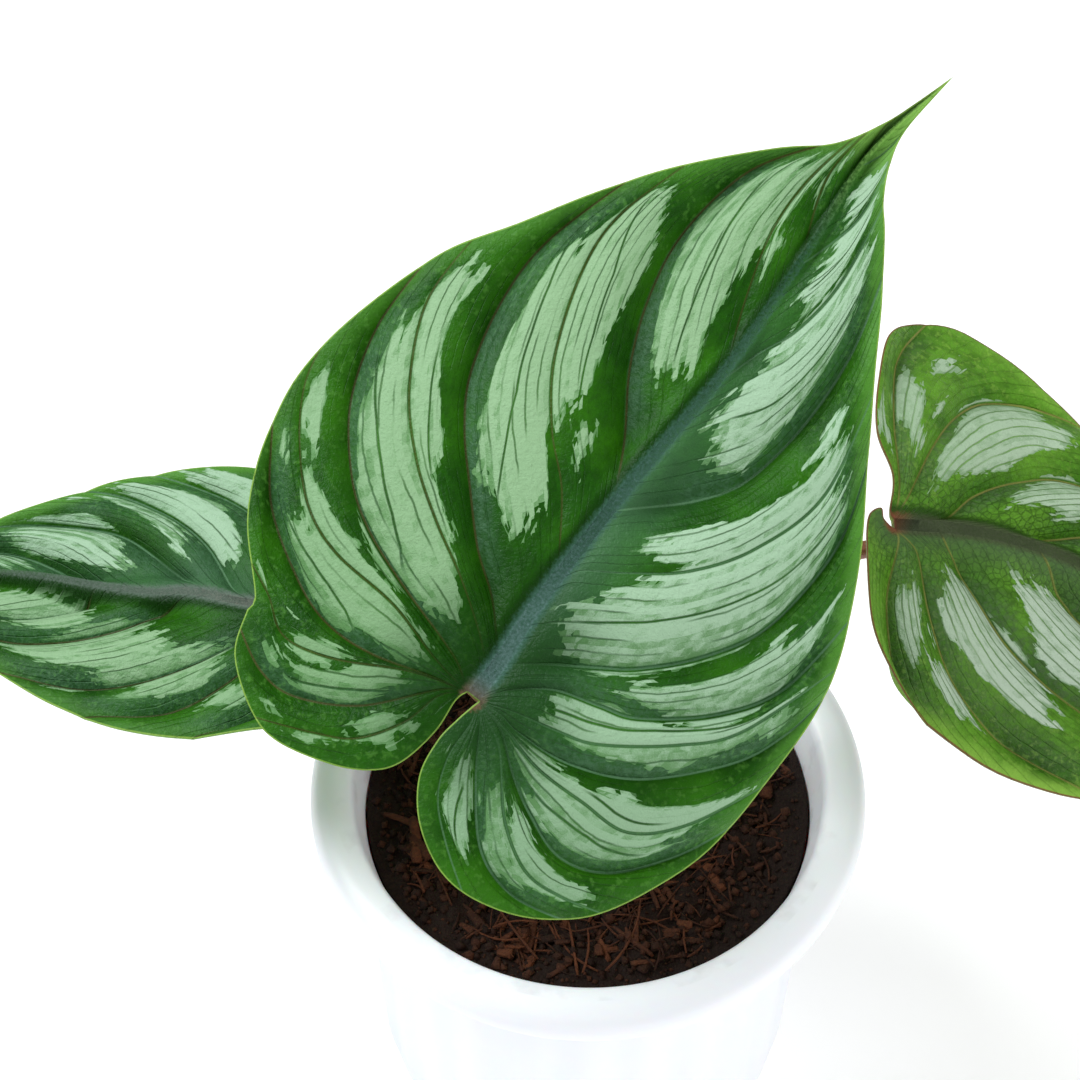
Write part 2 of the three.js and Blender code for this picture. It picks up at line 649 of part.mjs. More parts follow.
function bladeGroup(name, blade, material) {
  const group = new THREE.Group();
  group.position.set(...blade.junction);
  const [pitch, roll, turn] = [blade.pitch, blade.roll, blade.heading - 90].map(THREE.MathUtils.degToRad);
  group.rotation.set(pitch, roll, turn, 'ZXY');
  group.add(namedMesh(name, bladeGeometry(blade), material));
  return group;
}

// The last points of a stalk, square under the blade's junction.
function stalkNeckPoints(blade, group) {
  const under = quilt.grooveDepth + quilt.ribDrop + blade.thickness + stalkShape.gap;
  group.updateMatrixWorld();
  return [1, 0.5, 0].map((rest) => {
    const point = new THREE.Vector3(0, stalkShape.inset, -under - rest * stalkShape.neck);
    return group.localToWorld(point);
  });
}

// Materials

const finish = (color, roughness) => new THREE.MeshStandardMaterial({ color, roughness, metalness: 0 });
const plastic = finish('#eef2f8', 0.35);
const peat = finish('#2a1a12', 0.95);
const stemSkin = finish('#5c6b34', 0.6);
const stalkSkin = finish('#7c4a38', 0.5);
const bladeSkin = finish('#3c8c28', 0.4);

// Assembly

const plant = new THREE.Group();
plant.add(namedMesh('pot', potGeometry(), plastic));
plant.add(namedMesh('potting_mix', mixGeometry(), peat));

const sockets = [];
for (const [place, blade] of Object.entries({ main: mainBlade, left: leftBlade, right: rightBlade })) {
  const group = bladeGroup(`leaf_${place}_blade`, blade, bladeSkin.clone());
  const neck = stalkNeckPoints(blade, group);
  plant.add(group);
  plant.add(namedMesh(`leaf_${place}_stalk`, stalkGeometry(stalks[place], neck), stalkSkin.clone()));
  sockets.push(toSolid(stalkGeometry(stalks[place], neck, stem.gap)));
}
plant.add(namedMesh('stem', stemGeometry(sockets), stemSkin));

export default plant;
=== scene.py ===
# Potted philodendron with three quilted, silver-veined leaves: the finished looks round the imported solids.
# Tables are in millimetres, +Z up, with the origin under the middle of the pot.

import bpy
import math
import random
import numpy as np
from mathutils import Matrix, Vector, noise as noiseField


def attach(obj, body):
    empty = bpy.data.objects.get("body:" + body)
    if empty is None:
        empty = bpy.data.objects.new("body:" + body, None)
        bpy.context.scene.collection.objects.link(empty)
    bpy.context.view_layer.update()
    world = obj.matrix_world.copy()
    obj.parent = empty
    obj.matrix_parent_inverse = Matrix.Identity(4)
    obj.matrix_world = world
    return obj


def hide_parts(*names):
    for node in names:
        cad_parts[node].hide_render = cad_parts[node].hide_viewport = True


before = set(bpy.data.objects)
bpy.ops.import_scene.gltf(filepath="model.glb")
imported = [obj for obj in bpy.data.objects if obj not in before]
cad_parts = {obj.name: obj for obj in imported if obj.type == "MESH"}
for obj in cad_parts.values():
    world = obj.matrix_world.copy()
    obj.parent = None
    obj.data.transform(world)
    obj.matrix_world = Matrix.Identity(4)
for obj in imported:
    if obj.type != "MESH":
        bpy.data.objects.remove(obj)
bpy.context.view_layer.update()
print("frame loaded with", len(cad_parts), "solids")

mm = 0.001
upward = np.array([0, 0, 1.0])


# Colours, materials and meshes


def linearColour(hexText):
    channels = [int(hexText[i:i + 2], 16) / 255 for i in (1, 3, 5)]
    return [c / 12.92 if c <= 0.04045 else ((c + 0.055) / 1.055) ** 2.4 for c in channels] + [1]


def addNode(tree, kind, settings=None, links=None):
    node = tree.nodes.new(kind)
    for name, value in (settings or {}).items():
        setattr(node, name, value)
    for socket, value in enumerate(links) if isinstance(links, list) else (links or {}).items():
        if isinstance(value, bpy.types.NodeSocket):
            tree.links.new(value, node.inputs[socket])
        else:
            node.inputs[socket].default_value = value
    return node.outputs


def startMaterial(name, finish):
    material = bpy.data.materials.new(name)
    material.use_nodes = True
    tree = material.node_tree
    skin = tree.nodes["Principled BSDF"]
    for socket, value in finish.items():
        skin.inputs[socket].default_value = value
    return material, tree, skin


def makePiece(name, points, faces, material):
    mesh = bpy.data.meshes.new(name)
    mesh.from_pydata((np.asarray(points) * mm).tolist(), [], faces)
    mesh.update()
    mesh.materials.append(material)
    mesh.shade_smooth()
    piece = bpy.data.objects.new(name, mesh)
    bpy.context.scene.collection.objects.link(piece)
    return piece


def setAttribute(piece, name, values):
    attribute = piece.data.attributes.new(name, "FLOAT", "POINT")
    attribute.data.foreach_set("value", np.asarray(values, np.float32))


def standFor(piece, node):
    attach(piece, "root")
    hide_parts(node)
    print(piece.name, "stands for", node, "with", len(piece.data.polygons), "faces")


def addPart(points, faces, morePoints, moreFaces):
    faces += [[i + len(points) for i in face] for face in moreFaces]
    points += morePoints.tolist()


def smoothStep(x, low, high):
    t = np.clip((x - low) / (high - low), 0, 1)
    return t * t * (3 - 2 * t)


# Blades. Each lies in its own frame: +Y from the stalk's junction to the tip, +Z out of its upper face.
# Outlines run from the junction round the basal lobe to the tip. Veins run from the midrib outwards.

mainBlade = {
    "junction": [-22.1, -47.1, 184.9],
    "heading": 45.6,  # compass angle of the tip, from +X towards +Y
    "pitch": 29.2,  # rise of the tip
    "roll": 25.5,  # turn about the midrib
    "length": 139,
    "halfWidth": 55,
    "thickness": 0.8,
    "ribHalfWidth": 1.3,  # half of the midrib's width at the stalk
    "arch": 2.5,  # each half's rise between midrib and margin
    "droop": [5, 13],  # fall of the margin, left and right half
    "tipFall": 9,  # fall of the tip
    "midrib": [[0, 0], [0, 8], [-1, 21], [-1, 45], [0, 67], [0, 80], [-1.5, 103.5], [-3, 117],
               [-2.5, 127], [0.4, 142]],
    "left": {
        "outline": [[-2, -2.5], [-1.5, -9], [-3, -17], [-6.5, -21.5], [-13, -25], [-23, -27.5],
                    [-30, -26], [-38.5, -20], [-41.5, -12.5], [-42, -9.5], [-51, -0.5], [-56, 8],
                    [-59, 17], [-60.5, 27.5], [-59, 41], [-53.5, 59.5], [-45.5, 72.5], [-37.5, 86],
                    [-29, 98], [-17, 111.5], [-9, 119], [-4.5, 127], [-2, 134], [0.4, 142]],
        "sinusEnd": [-23, -27.5],
        "veins": [
            {"minor": True, "path": [[-5, -3.5], [-7, -11], [-12, -18.5], [-19, -22.5], [-28.5, -26.5]]},
            {"path": [[-5.5, -2.5], [-15, -13.5], [-25.5, -19.5], [-33, -19.5], [-40.5, -15.5]]},
            {"minor": True, "path": [[-7, -1.5], [-13.5, -4], [-24.5, -10], [-33.5, -12], [-40, -8],
                                     [-46, -5]]},
            {"path": [[-8, -1.5], [-19.5, -5], [-29, -5.5], [-38, -2.5], [-50, 5], [-59, 17]]},
            {"minor": True, "path": [[-10, 1.5], [-21.5, 4.5], [-35.5, 5.5], [-45, 9.5], [-53.5, 18],
                                     [-58.5, 26], [-60.5, 33]]},
            {"path": [[-5.5, 3], [-11, 5], [-23, 8.5], [-33.5, 12.5], [-41.5, 18], [-50, 28.5],
                      [-54.5, 42], [-54.5, 56]]},
            {"minor": True, "path": [[-0.5, 5], [-5, 9], [-14.5, 15.5], [-24.5, 21], [-34, 27.5],
                                     [-43, 37], [-50, 51], [-50, 65]]},
            {"path": [[-0.5, 9], [-8, 16], [-15.5, 21.5], [-23, 29], [-30.5, 37], [-36, 46], [-39.5, 60],
                      [-39.5, 73], [-35, 90]]},
            {"minor": True, "path": [[-1, 28], [-10, 39], [-18, 46.5], [-25.5, 57], [-31, 72], [-32, 84],
                                     [-28, 99]]},
            {"path": [[-1, 44], [-6.5, 53], [-14, 64.5], [-19, 77], [-21, 90], [-18.5, 105], [-11, 117]]},
            {"minor": True, "path": [[0, 76], [-5, 87], [-8.5, 99], [-9, 110], [-7, 121.5]]},
            {"minor": True, "path": [[-1.2, 100], [-5.5, 109], [-6.8, 116], [-5.6, 124.5]]},
            {"minor": True, "path": [[-2.8, 121], [-3.9, 123.5], [-3.9, 127], [-3.4, 130.5]]},
        ],
    },
    "right": {
        "outline": [[0.8, -2], [0.2, -5], [-0.3, -10], [1, -17], [6, -23.5], [14, -28], [22.5, -28.5],
                    [33, -25], [42, -17.5], [48.5, -5], [51.5, 5.5], [52, 19], [51.5, 35], [48, 47.5],
                    [40.5, 62], [31.5, 75.5], [21.5, 90.5], [15, 101], [8, 111], [4, 116], [1, 122],
                    [-0.5, 129], [0.4, 142]],
        "sinusEnd": [14, -28],
        "veins": [
            {"minor": True, "path": [[2.5, -4], [3, -11], [6, -18], [12, -23.5], [20, -28.6]]},
            {"path": [[3, -1.5], [9.5, -11.5], [18, -21], [27, -24], [37, -22]]},
            {"minor": True, "path": [[4, -1.5], [9.5, -4.5], [18, -14], [26.5, -19], [34, -19],
                                     [42, -17]]},
            {"path": [[7.5, -1.5], [14, -6.5], [21, -10.5], [30, -13.5], [39, -10.5], [47, -1],
                      [51.5, 9]]},
            {"minor": True, "path": [[8, -1], [17, -3], [27, -3], [37, -2.5], [45, 5], [52, 19]]},
            {"path": [[6, 0.5], [11, 0], [21, 1], [33, 6.5], [45, 19], [49.5, 29], [51, 38]]},
            {"minor": True, "path": [[8, 2.5], [16, 4.5], [23, 7], [34.5, 15.5], [42.5, 24.5],
                                     [49.5, 44]]},
            {"path": [[2.5, 2.5], [5.5, 6], [11, 10], [19, 12.5], [26, 15], [37, 24], [44, 35],
                      [46, 52.5]]},
            {"path": [[0, 8], [6, 12], [15, 18], [20.5, 22], [28, 30], [34, 40], [36, 51], [35.5, 63],
                      [31, 76.5]]},
            {"minor": True, "path": [[-1, 27], [2, 30], [8.5, 34.5], [17, 41.5], [24, 52], [28, 67],
                                     [24, 87]]},
            {"path": [[-1, 42], [3, 45], [10.5, 52.5], [15.5, 61], [17.5, 75], [16.5, 90], [12.5, 105]]},
            {"minor": True, "path": [[0, 73], [3, 80], [6, 88], [7, 99], [4.5, 115]]},
            {"minor": True, "path": [[-1.2, 98], [1.3, 104], [2.5, 111], [1.2, 121.5]]},
            {"minor": True, "path": [[-2.8, 119], [-1.4, 122], [-0.8, 125], [-0.4, 128.5]]},
        ],
    },
}

leftBlade = {
    "junction": [-51.3, 11.2, 135.3],
    "heading": 162,
    "pitch": -13,
    "roll": -5,
    "length": 115,
    "halfWidth": 38,
    "thickness": 0.8,
    "ribHalfWidth": 1.1,
    "arch": 2,
    "droop": [4, 1],
    "tipFall": 10,
    "midrib": [[0, 0], [-1.5, 18], [0, 33], [-1, 42], [-0.5, 53], [1, 68], [1.5, 82], [1, 98], [0, 115]],
    "left": {
        "outline": [[-1.8, -5], [-5, -12], [-13, -16.5], [-21, -13], [-27.2, -3], [-30.2, 8], [-32.4, 18],
                    [-33.5, 28], [-33, 38], [-31, 47.5], [-28.5, 57.5], [-24, 68.5], [-18.5, 79],
                    [-12.5, 89], [-7, 97], [-3, 105], [0, 115]],
        "sinusEnd": [-5, -12],
        "veins": [
            {"path": [[-6, -4], [-13, -8.5], [-20, -7], [-27, -1]]},
            {"path": [[-9, -0.5], [-18, 1], [-26, 9], [-32.5, 21]]},
            {"path": [[-1, 4], [-9, 9], [-19, 17], [-26.5, 28], [-31, 47]]},
            {"path": [[-1, 8], [-8, 15.5], [-17, 28.5], [-22, 41], [-24, 55], [-23, 70]]},
            {"path": [[-0.5, 33], [-5, 41.5], [-9.5, 49], [-13, 59], [-14.5, 73], [-13, 88]]},
            {"path": [[-0.5, 55], [-5, 64], [-8, 76], [-7, 97]]},
            {"path": [[0.9, 100], [-0.3, 103], [-1, 106.5], [-1.2, 110]]},
        ],
    },
    "right": {
        "outline": [[1.8, -5], [5, -12], [13, -17], [22, -14], [28.5, -3], [32, 13], [32.5, 30], [30, 46],
                    [26.5, 58], [22.5, 68.5], [18.5, 77], [14, 86.5], [9, 95], [4.5, 102], [2, 108],
                    [0, 115]],
        "sinusEnd": [5, -12],
        "veins": [
            {"path": [[8, -5], [17, -8.5], [24, -5], [30.5, 4]]},
            {"path": [[11, 2], [21, 7], [28, 16], [32.5, 30]]},
            {"path": [[-1, 6], [9, 14], [18, 23], [25, 36], [28, 53]]},
            {"path": [[-0.5, 20], [2.5, 25], [12, 34.5], [19, 46], [22.5, 57], [22.5, 68]]},
            {"path": [[0, 31], [6.5, 41.5], [13, 54], [15, 64], [15, 76], [12, 91]]},
            {"path": [[0.5, 58], [6, 70], [8.5, 84], [5, 101]]},
            {"path": [[0.9, 100], [1.7, 103], [1.9, 106.5], [1.4, 110]]},
        ],
    },
}

rightBlade = {
    "junction": [60.9, 19.7, 150.8],
    "heading": -12,
    "pitch": -22,
    "roll": 10,
    "length": 122,
    "halfWidth": 48,
    "thickness": 0.8,
    "ribHalfWidth": 1.2,
    "arch": 3,
    "droop": [6, 8],
    "tipFall": 10,
    "midrib": [[0, 0], [-4, 11.5], [-6.5, 21.5], [-8, 31.5], [-8.5, 42], [-8, 62], [-5.5, 85],
               [-2.5, 104], [0, 122]],
    "left": {
        "outline": [[-2.5, -2], [-9, -4], [-16.5, -9.5], [-28, -11.5], [-42.5, -10.5], [-50.5, -3.5],
                    [-53.5, 4], [-52.5, 12], [-50.5, 20], [-47, 28], [-38, 45], [-30.5, 60], [-23, 75],
                    [-15, 90], [-9, 101], [-4, 110], [0, 122]],
        "sinusEnd": [-42.5, -10.5],
        "veins": [
            {"path": [[-7, -1.5], [-20.5, -5.5], [-33, -7], [-42, -6], [-51.5, -2]]},
            {"path": [[-7, 1], [-19.5, 3.5], [-30, 7.5], [-38.5, 14], [-43, 23.5], [-42.5, 36.5]]},
            {"path": [[-2, 5], [-6.5, 10.5], [-14.5, 15.5], [-22.5, 24.5], [-28.5, 36], [-30.5, 59]]},
            {"path": [[-7, 26], [-13, 34], [-19, 45], [-22, 58], [-20.5, 80]]},
            {"path": [[-8.5, 50], [-12.5, 61], [-14.5, 76], [-11, 97]]},
            {"path": [[-2.6, 103], [-3.5, 106.5], [-3.4, 110], [-2.6, 114]]},
        ],
    },
    "right": {
        "outline": [[0.2, -2.5], [-1.5, -4], [1, -6], [7.5, -5.5], [18, -2.5], [25, 1], [30.5, 7],
                    [35.5, 15.5], [38.5, 25], [40, 34], [39.5, 44], [37.5, 54], [33, 66], [26, 79],
                    [18, 91], [10, 102], [5, 110], [0, 122]],
        "sinusEnd": [18, -2.5],
        "veins": [
            {"path": [[4, 1.5], [15.5, 2.5], [24.5, 6.5], [31, 11], [36.5, 18]]},
            {"path": [[2.5, 3], [5.5, 6.5], [15.5, 11.5], [25.5, 20], [31.5, 31.5], [34, 43], [36, 58]]},
            {"path": [[-4, 9], [-1.5, 10.5], [7, 21], [14.5, 31], [19.5, 45.5], [21.5, 62], [23.5, 83]]},
            {"path": [[-8, 31], [-2, 40], [4, 52], [8, 68], [12, 99]]},
            {"path": [[-8.5, 55], [-3, 68], [1, 82], [7, 106]]},
            {"path": [[-2.5, 104], [-0.7, 108], [0.6, 112], [1.3, 116.5]]},
        ],
    },
}

# Silver on the blades, one list for each band: where it starts and ends as shares of the way from the midrib
# to the margin. The first number counts the veins from the sinus edge (0) to the tip.
mainBlade["left"]["silver"] = [
    [(0.5, 0.36, 0.49), (0.62, 0.27, 0.33)],
    [(0.8, 0.72, 0.86), (0.92, 0.62, 0.82)],
    [(0.95, 0.3, 0.57), (1.1, 0.27, 0.6), (1.2, 0.26, 0.56), (1.35, 0.28, 0.5), (1.5, 0.31, 0.46)],
    [(1.15, 0.8, 0.9), (1.35, 0.82, 0.88)],
    [(2.12, 0.42, 0.52), (2.2, 0.34, 0.71), (2.35, 0.3, 0.71), (2.45, 0.25, 0.7), (2.6, 0.22, 0.68),
     (2.8, 0.25, 0.48), (2.95, 0.27, 0.43)],
    [(2.3, 0.76, 0.85), (2.45, 0.73, 0.84), (2.6, 0.73, 0.8)],
    [(2.94, 0.49, 0.69), (3.05, 0.42, 0.7), (3.15, 0.41, 0.66), (3.25, 0.4, 0.55), (3.4, 0.42, 0.47)],
    [(3.45, 0.6, 0.65)],
    [(3.05, 0.72, 0.94), (3.15, 0.74, 0.88)],
    [(4.12, 0.36, 0.5), (4.25, 0.35, 0.66), (4.35, 0.14, 0.7), (4.5, 0.13, 0.66), (4.6, 0.13, 0.63),
     (4.75, 0.13, 0.6), (4.88, 0.15, 0.58)],
    [(4.15, 0.17, 0.24), (4.25, 0.15, 0.3)],
    [(4.95, 0.15, 0.2), (5.1, 0.14, 0.2), (5.3, 0.145, 0.18)],
    [(4.5, 0.78, 0.88), (4.65, 0.78, 0.86)],
    [(5.05, 0.44, 0.72), (5.15, 0.42, 0.7), (5.25, 0.34, 0.62), (5.4, 0.38, 0.5), (5.55, 0.39, 0.43)],
    [(5.1, 0.76, 0.88), (5.3, 0.66, 0.9)],
    [(6.08, 0.19, 0.5), (6.2, 0.17, 0.66), (6.35, 0.13, 0.7), (6.5, 0.11, 0.8), (6.65, 0.15, 0.85),
     (6.8, 0.16, 0.7), (6.92, 0.2, 0.55)],
    [(7.06, 0.42, 0.9), (7.15, 0.41, 0.94), (7.25, 0.4, 0.9), (7.33, 0.41, 0.86), (7.38, 0.42, 0.64),
     (7.46, 0.42, 0.5)],
    [(7.1, 0.27, 0.34), (7.3, 0.27, 0.33)],
    [(7.42, 0.77, 0.85)],
    [(8.12, 0.3, 0.37), (8.25, 0.29, 0.46), (8.35, 0.15, 0.6), (8.5, 0.14, 0.77), (8.65, 0.18, 0.8),
     (8.8, 0.14, 0.72), (8.93, 0.3, 0.68)],
    [(9.08, 0.28, 0.9), (9.2, 0.31, 0.88), (9.35, 0.3, 0.85), (9.5, 0.31, 0.78), (9.62, 0.43, 0.7)],
    [(9.2, 0.18, 0.22), (9.35, 0.18, 0.26), (9.5, 0.19, 0.24)],
    [(10.08, 0.66, 0.74), (10.18, 0.24, 0.8), (10.3, 0.19, 0.88), (10.45, 0.16, 0.92), (10.6, 0.13, 0.9),
     (10.72, 0.24, 0.85)],
    [(10.88, 0.4, 0.95), (11, 0.42, 0.97), (11.15, 0.5, 0.97), (11.3, 0.5, 0.97), (11.5, 0.6, 0.96),
     (11.7, 0.66, 0.93), (11.85, 0.7, 0.88)],
    [(11.2, 0.28, 0.5), (11.4, 0.3, 0.42), (11.55, 0.28, 0.35)],
    [(11.8, 0.5, 0.6), (12, 0.35, 0.72), (12.15, 0.38, 0.75), (12.35, 0.42, 0.68)],
]
mainBlade["right"]["silver"] = [
    [(0.6, 0.27, 0.32)],
    [(1.2, 0.42, 0.6), (1.35, 0.25, 0.75), (1.5, 0.2, 0.7), (1.65, 0.2, 0.62), (1.8, 0.22, 0.5)],
    [(2.15, 0.53, 0.72), (2.3, 0.44, 0.72), (2.45, 0.3, 0.78), (2.6, 0.31, 0.8), (2.75, 0.31, 0.6),
     (2.95, 0.3, 0.5)],
    [(3.05, 0.45, 0.95), (3.15, 0.42, 0.92), (3.3, 0.37, 0.75), (3.45, 0.34, 0.55), (3.6, 0.35, 0.47),
     (3.7, 0.39, 0.42)],
    [(4.15, 0.27, 0.4), (4.25, 0.27, 0.53), (4.35, 0.3, 0.73), (4.5, 0.18, 0.8), (4.65, 0.17, 0.7),
     (4.8, 0.16, 0.68), (4.95, 0.15, 0.6)],
    [(5.1, 0.15, 0.37), (5.3, 0.15, 0.33), (5.5, 0.17, 0.3), (5.7, 0.11, 0.27), (5.9, 0.11, 0.24)],
    [(5.1, 0.4, 0.93), (5.25, 0.38, 0.85), (5.4, 0.39, 0.75), (5.55, 0.4, 0.47), (5.65, 0.42, 0.45)],
    [(6.35, 0.47, 0.6), (6.5, 0.4, 0.62), (6.6, 0.35, 0.7), (6.75, 0.35, 0.7), (6.9, 0.2, 0.7)],
    [(6.5, 0.75, 0.87), (6.65, 0.73, 0.9), (6.75, 0.73, 0.9)],
    [(7.1, 0.19, 0.9), (7.25, 0.18, 0.85), (7.4, 0.19, 0.7), (7.55, 0.19, 0.62), (7.7, 0.2, 0.5),
     (7.9, 0.2, 0.44)],
    [(8.1, 0.44, 0.8), (8.2, 0.4, 0.85), (8.35, 0.3, 0.92), (8.45, 0.28, 0.9), (8.6, 0.3, 0.36)],
    [(8.6, 0.6, 0.72)],
    [(9.15, 0.09, 0.78), (9.3, 0.08, 0.87), (9.5, 0.06, 0.85), (9.65, 0.07, 0.85), (9.8, 0.13, 0.8),
     (9.9, 0.2, 0.7)],
    [(10.05, 0.4, 0.85), (10.15, 0.2, 0.85), (10.3, 0.16, 0.8), (10.45, 0.15, 0.38)],
    [(10.5, 0.62, 0.8), (10.6, 0.64, 0.76)],
    [(11.25, 0.16, 0.48), (11.4, 0.17, 0.78), (11.55, 0.08, 0.82), (11.75, 0.13, 0.95), (11.9, 0.2, 0.9)],
    [(12.15, 0.31, 0.41), (12.3, 0.33, 0.75), (12.45, 0.2, 0.85), (12.6, 0.24, 0.9), (12.8, 0.25, 0.95),
     (12.95, 0.3, 0.9)],
    [(13.1, 0.31, 0.47), (13.3, 0.24, 0.85), (13.5, 0.25, 0.85), (13.7, 0.27, 0.5)],
]
leftBlade["left"]["silver"] = [
    [(1.2, 0.4, 0.6), (1.5, 0.3, 0.7), (1.8, 0.35, 0.6)],
    [(2.35, 0.5, 0.6), (2.5, 0.44, 0.68), (2.7, 0.4, 0.67), (2.85, 0.45, 0.55)],
    [(3.3, 0.36, 0.6), (3.5, 0.3, 0.77), (3.65, 0.27, 0.62), (3.8, 0.22, 0.58), (3.92, 0.22, 0.5)],
    [(3.8, 0.77, 0.88), (3.92, 0.72, 0.87)],
    [(4.08, 0.2, 0.65), (4.3, 0.3, 0.6), (4.45, 0.28, 0.75), (4.6, 0.23, 0.77), (4.75, 0.26, 0.85),
     (4.9, 0.18, 0.8), (5, 0.15, 0.7), (5.12, 0.2, 0.5)],
    [(5.4, 0.25, 0.55), (5.6, 0.22, 0.6), (5.8, 0.14, 0.5)],
    [(6.05, 0.05, 0.5), (6.3, 0.08, 0.7), (6.5, 0.2, 0.75)],
]
leftBlade["right"]["silver"] = [
    [(1.2, 0.4, 0.6), (1.5, 0.3, 0.75), (1.8, 0.35, 0.6)],
    [(2.3, 0.4, 0.7), (2.5, 0.35, 0.95), (2.8, 0.4, 0.97)],
    [(3.35, 0.48, 0.74), (3.55, 0.27, 0.95), (3.75, 0.25, 0.95), (3.88, 0.22, 0.9)],
    [(4.1, 0.5, 0.95), (4.25, 0.35, 0.72), (4.4, 0.3, 0.52), (4.5, 0.22, 0.36)],
    [(4.25, 0.88, 0.98)],
    [(4.85, 0.5, 0.9), (5.05, 0.45, 0.85), (5.2, 0.3, 0.85), (5.35, 0.18, 0.8), (5.5, 0.17, 0.75),
     (5.7, 0.22, 0.68), (5.82, 0.35, 0.62)],
    [(6.2, 0.3, 0.6), (6.4, 0.2, 0.7)],
]
rightBlade["left"]["silver"] = [
    [(0.3, 0.35, 0.6), (0.5, 0.3, 0.4)],
    [(1.12, 0.38, 0.66), (1.25, 0.36, 0.6), (1.4, 0.26, 0.5), (1.52, 0.25, 0.36)],
    [(1.35, 0.66, 0.82), (1.45, 0.68, 0.76)],
    [(1.65, 0.43, 0.5)],
    [(2.08, 0.45, 0.85), (2.18, 0.2, 0.8), (2.3, 0.17, 0.85), (2.42, 0.17, 0.82), (2.55, 0.22, 0.8),
     (2.68, 0.28, 0.6), (2.78, 0.35, 0.45)],
    [(3.05, 0.5, 0.75), (3.22, 0.27, 0.75), (3.35, 0.24, 0.7), (3.48, 0.3, 0.6), (3.6, 0.32, 0.5),
     (3.72, 0.28, 0.4)],
    [(4.3, 0.3, 0.6), (4.5, 0.25, 0.7), (4.7, 0.3, 0.6)],
    [(5.3, 0.3, 0.6), (5.6, 0.3, 0.6)],
]
rightBlade["right"]["silver"] = [
    [(1.25, 0.26, 0.62), (1.38, 0.25, 0.5), (1.52, 0.21, 0.42), (1.65, 0.2, 0.3)],
    [(1.55, 0.48, 0.7), (1.7, 0.45, 0.72), (1.87, 0.42, 0.6)],
    [(1.85, 0.31, 0.38)],
    [(2.2, 0.25, 0.32), (2.35, 0.16, 0.58), (2.47, 0.15, 0.7), (2.6, 0.1, 0.58), (2.75, 0.1, 0.6),
     (2.9, 0.15, 0.5)],
    [(3.3, 0.28, 0.6), (3.42, 0.14, 0.62), (3.55, 0.1, 0.6), (3.7, 0.11, 0.5), (3.87, 0.13, 0.4)],
    [(4.3, 0.3, 0.6), (4.6, 0.25, 0.6)],
]

# Fine veins that part the silver inside a panel, for each panel that has one: how far out from the midrib,
# and the same count of veins.
mainBlade["left"]["splits"] = {
    2: [(0.3, 2.28), (0.36, 2.36), (0.45, 2.38), (0.55, 2.36), (0.7, 2.28)],
    4: [(0.34, 4.18), (0.38, 4.38), (0.45, 4.51), (0.52, 4.53), (0.6, 4.45), (0.68, 4.36)],
    6: [(0.29, 6.15), (0.33, 6.3), (0.4, 6.42), (0.5, 6.48), (0.6, 6.48), (0.7, 6.4), (0.8, 6.3)],
    7: [(0.42, 7.2), (0.55, 7.3), (0.68, 7.3)],
    8: [(0.25, 8.3), (0.35, 8.48), (0.43, 8.6), (0.55, 8.64), (0.66, 8.62), (0.8, 8.5)],
    9: [(0.3, 9.33), (0.45, 9.42), (0.6, 9.4), (0.7, 9.3), (0.85, 9.15)],
    10: [(0.22, 10.4), (0.35, 10.46), (0.5, 10.5), (0.65, 10.46), (0.8, 10.38)],
}
mainBlade["right"]["splits"] = {
    1: [(0.36, 1.62), (0.45, 1.5), (0.55, 1.42), (0.65, 1.35)],
    2: [(0.28, 2.42), (0.36, 2.36), (0.44, 2.3), (0.52, 2.2)],
    3: [(0.3, 3.3), (0.37, 3.2), (0.45, 3.08)],
    4: [(0.26, 4.38), (0.35, 4.43), (0.42, 4.52), (0.5, 4.59), (0.58, 4.55), (0.68, 4.42)],
    5: [(0.4, 5.3), (0.5, 5.2), (0.65, 5.15)],
    7: [(0.18, 7.5), (0.3, 7.53), (0.45, 7.6), (0.6, 7.5), (0.8, 7.35)],
    9: [(0.1, 9.45), (0.3, 9.5), (0.5, 9.5), (0.7, 9.45), (0.85, 9.4)],
    11: [(0.2, 11.55), (0.4, 11.5), (0.6, 11.5), (0.8, 11.55)],
    12: [(0.3, 12.5), (0.5, 12.55), (0.8, 12.6)],
}

quilt = {
    "valleyShare": 0.13,  # valley depth as a share of the distance between a vein's neighbours
    "minorShare": 0.3,  # how deep a secondary vein is beside a main one
    "power": 2.2,  # sharpness of the valleys
    "start": 0.14,  # share of a vein's length over which its valley deepens, from the midrib
    "marginFade": 0.3,  # what is left of the valleys at the margin
    "grooveDepth": 1.3,  # the midrib's groove above
    "grooveWidth": 3.5,
    "ribDrop": 1.1,  # the midrib's rib below
    "veinCut": 0.2,  # a fine crease along each main vein
    "veinCutWidth": 0.7,
    "veinKeel": 0.45,  # the same vein raised below
    "marginThickness": 0.45,
    "stripWidth": 2.4,  # mean spacing of the fine veinlets
    "flankSheenNear": 1.5,  # painted dusky sheen on one flank of each main vein is full up to here
    "flankSheenFar": [5, 8],  # and gone here, left and right half
    "silverPast": 0.045,  # how far silver runs on past a band's first and last vein count
    "silverFray": 3.6,  # how fast it thins out there
}
junctionShare = 0.03  # a vein that starts on this first share of the midrib starts at the junction
farOff = 20.0  # millimetres: no such vein is near
deepest = 12.0  # millimetres: silver is followed no further in or out

# What the skin's pattern is drawn from at each point. Places are counted or given in millimetres.
bladeFields = [
    "strip", "stripWidth", "silver", "along", "mainVein", "minorVein", "midrib", "margin", "length", "side",
    "flankSheen", "split", "splitHere",
]
tipFields = {
    "strip": 0, "stripWidth": 1, "silver": -deepest, "along": 0, "mainVein": farOff, "minorVein": farOff,
    "midrib": 0, "margin": 0, "length": 1, "side": 0.5, "flankSheen": 0, "split": 9, "splitHere": 0,
}


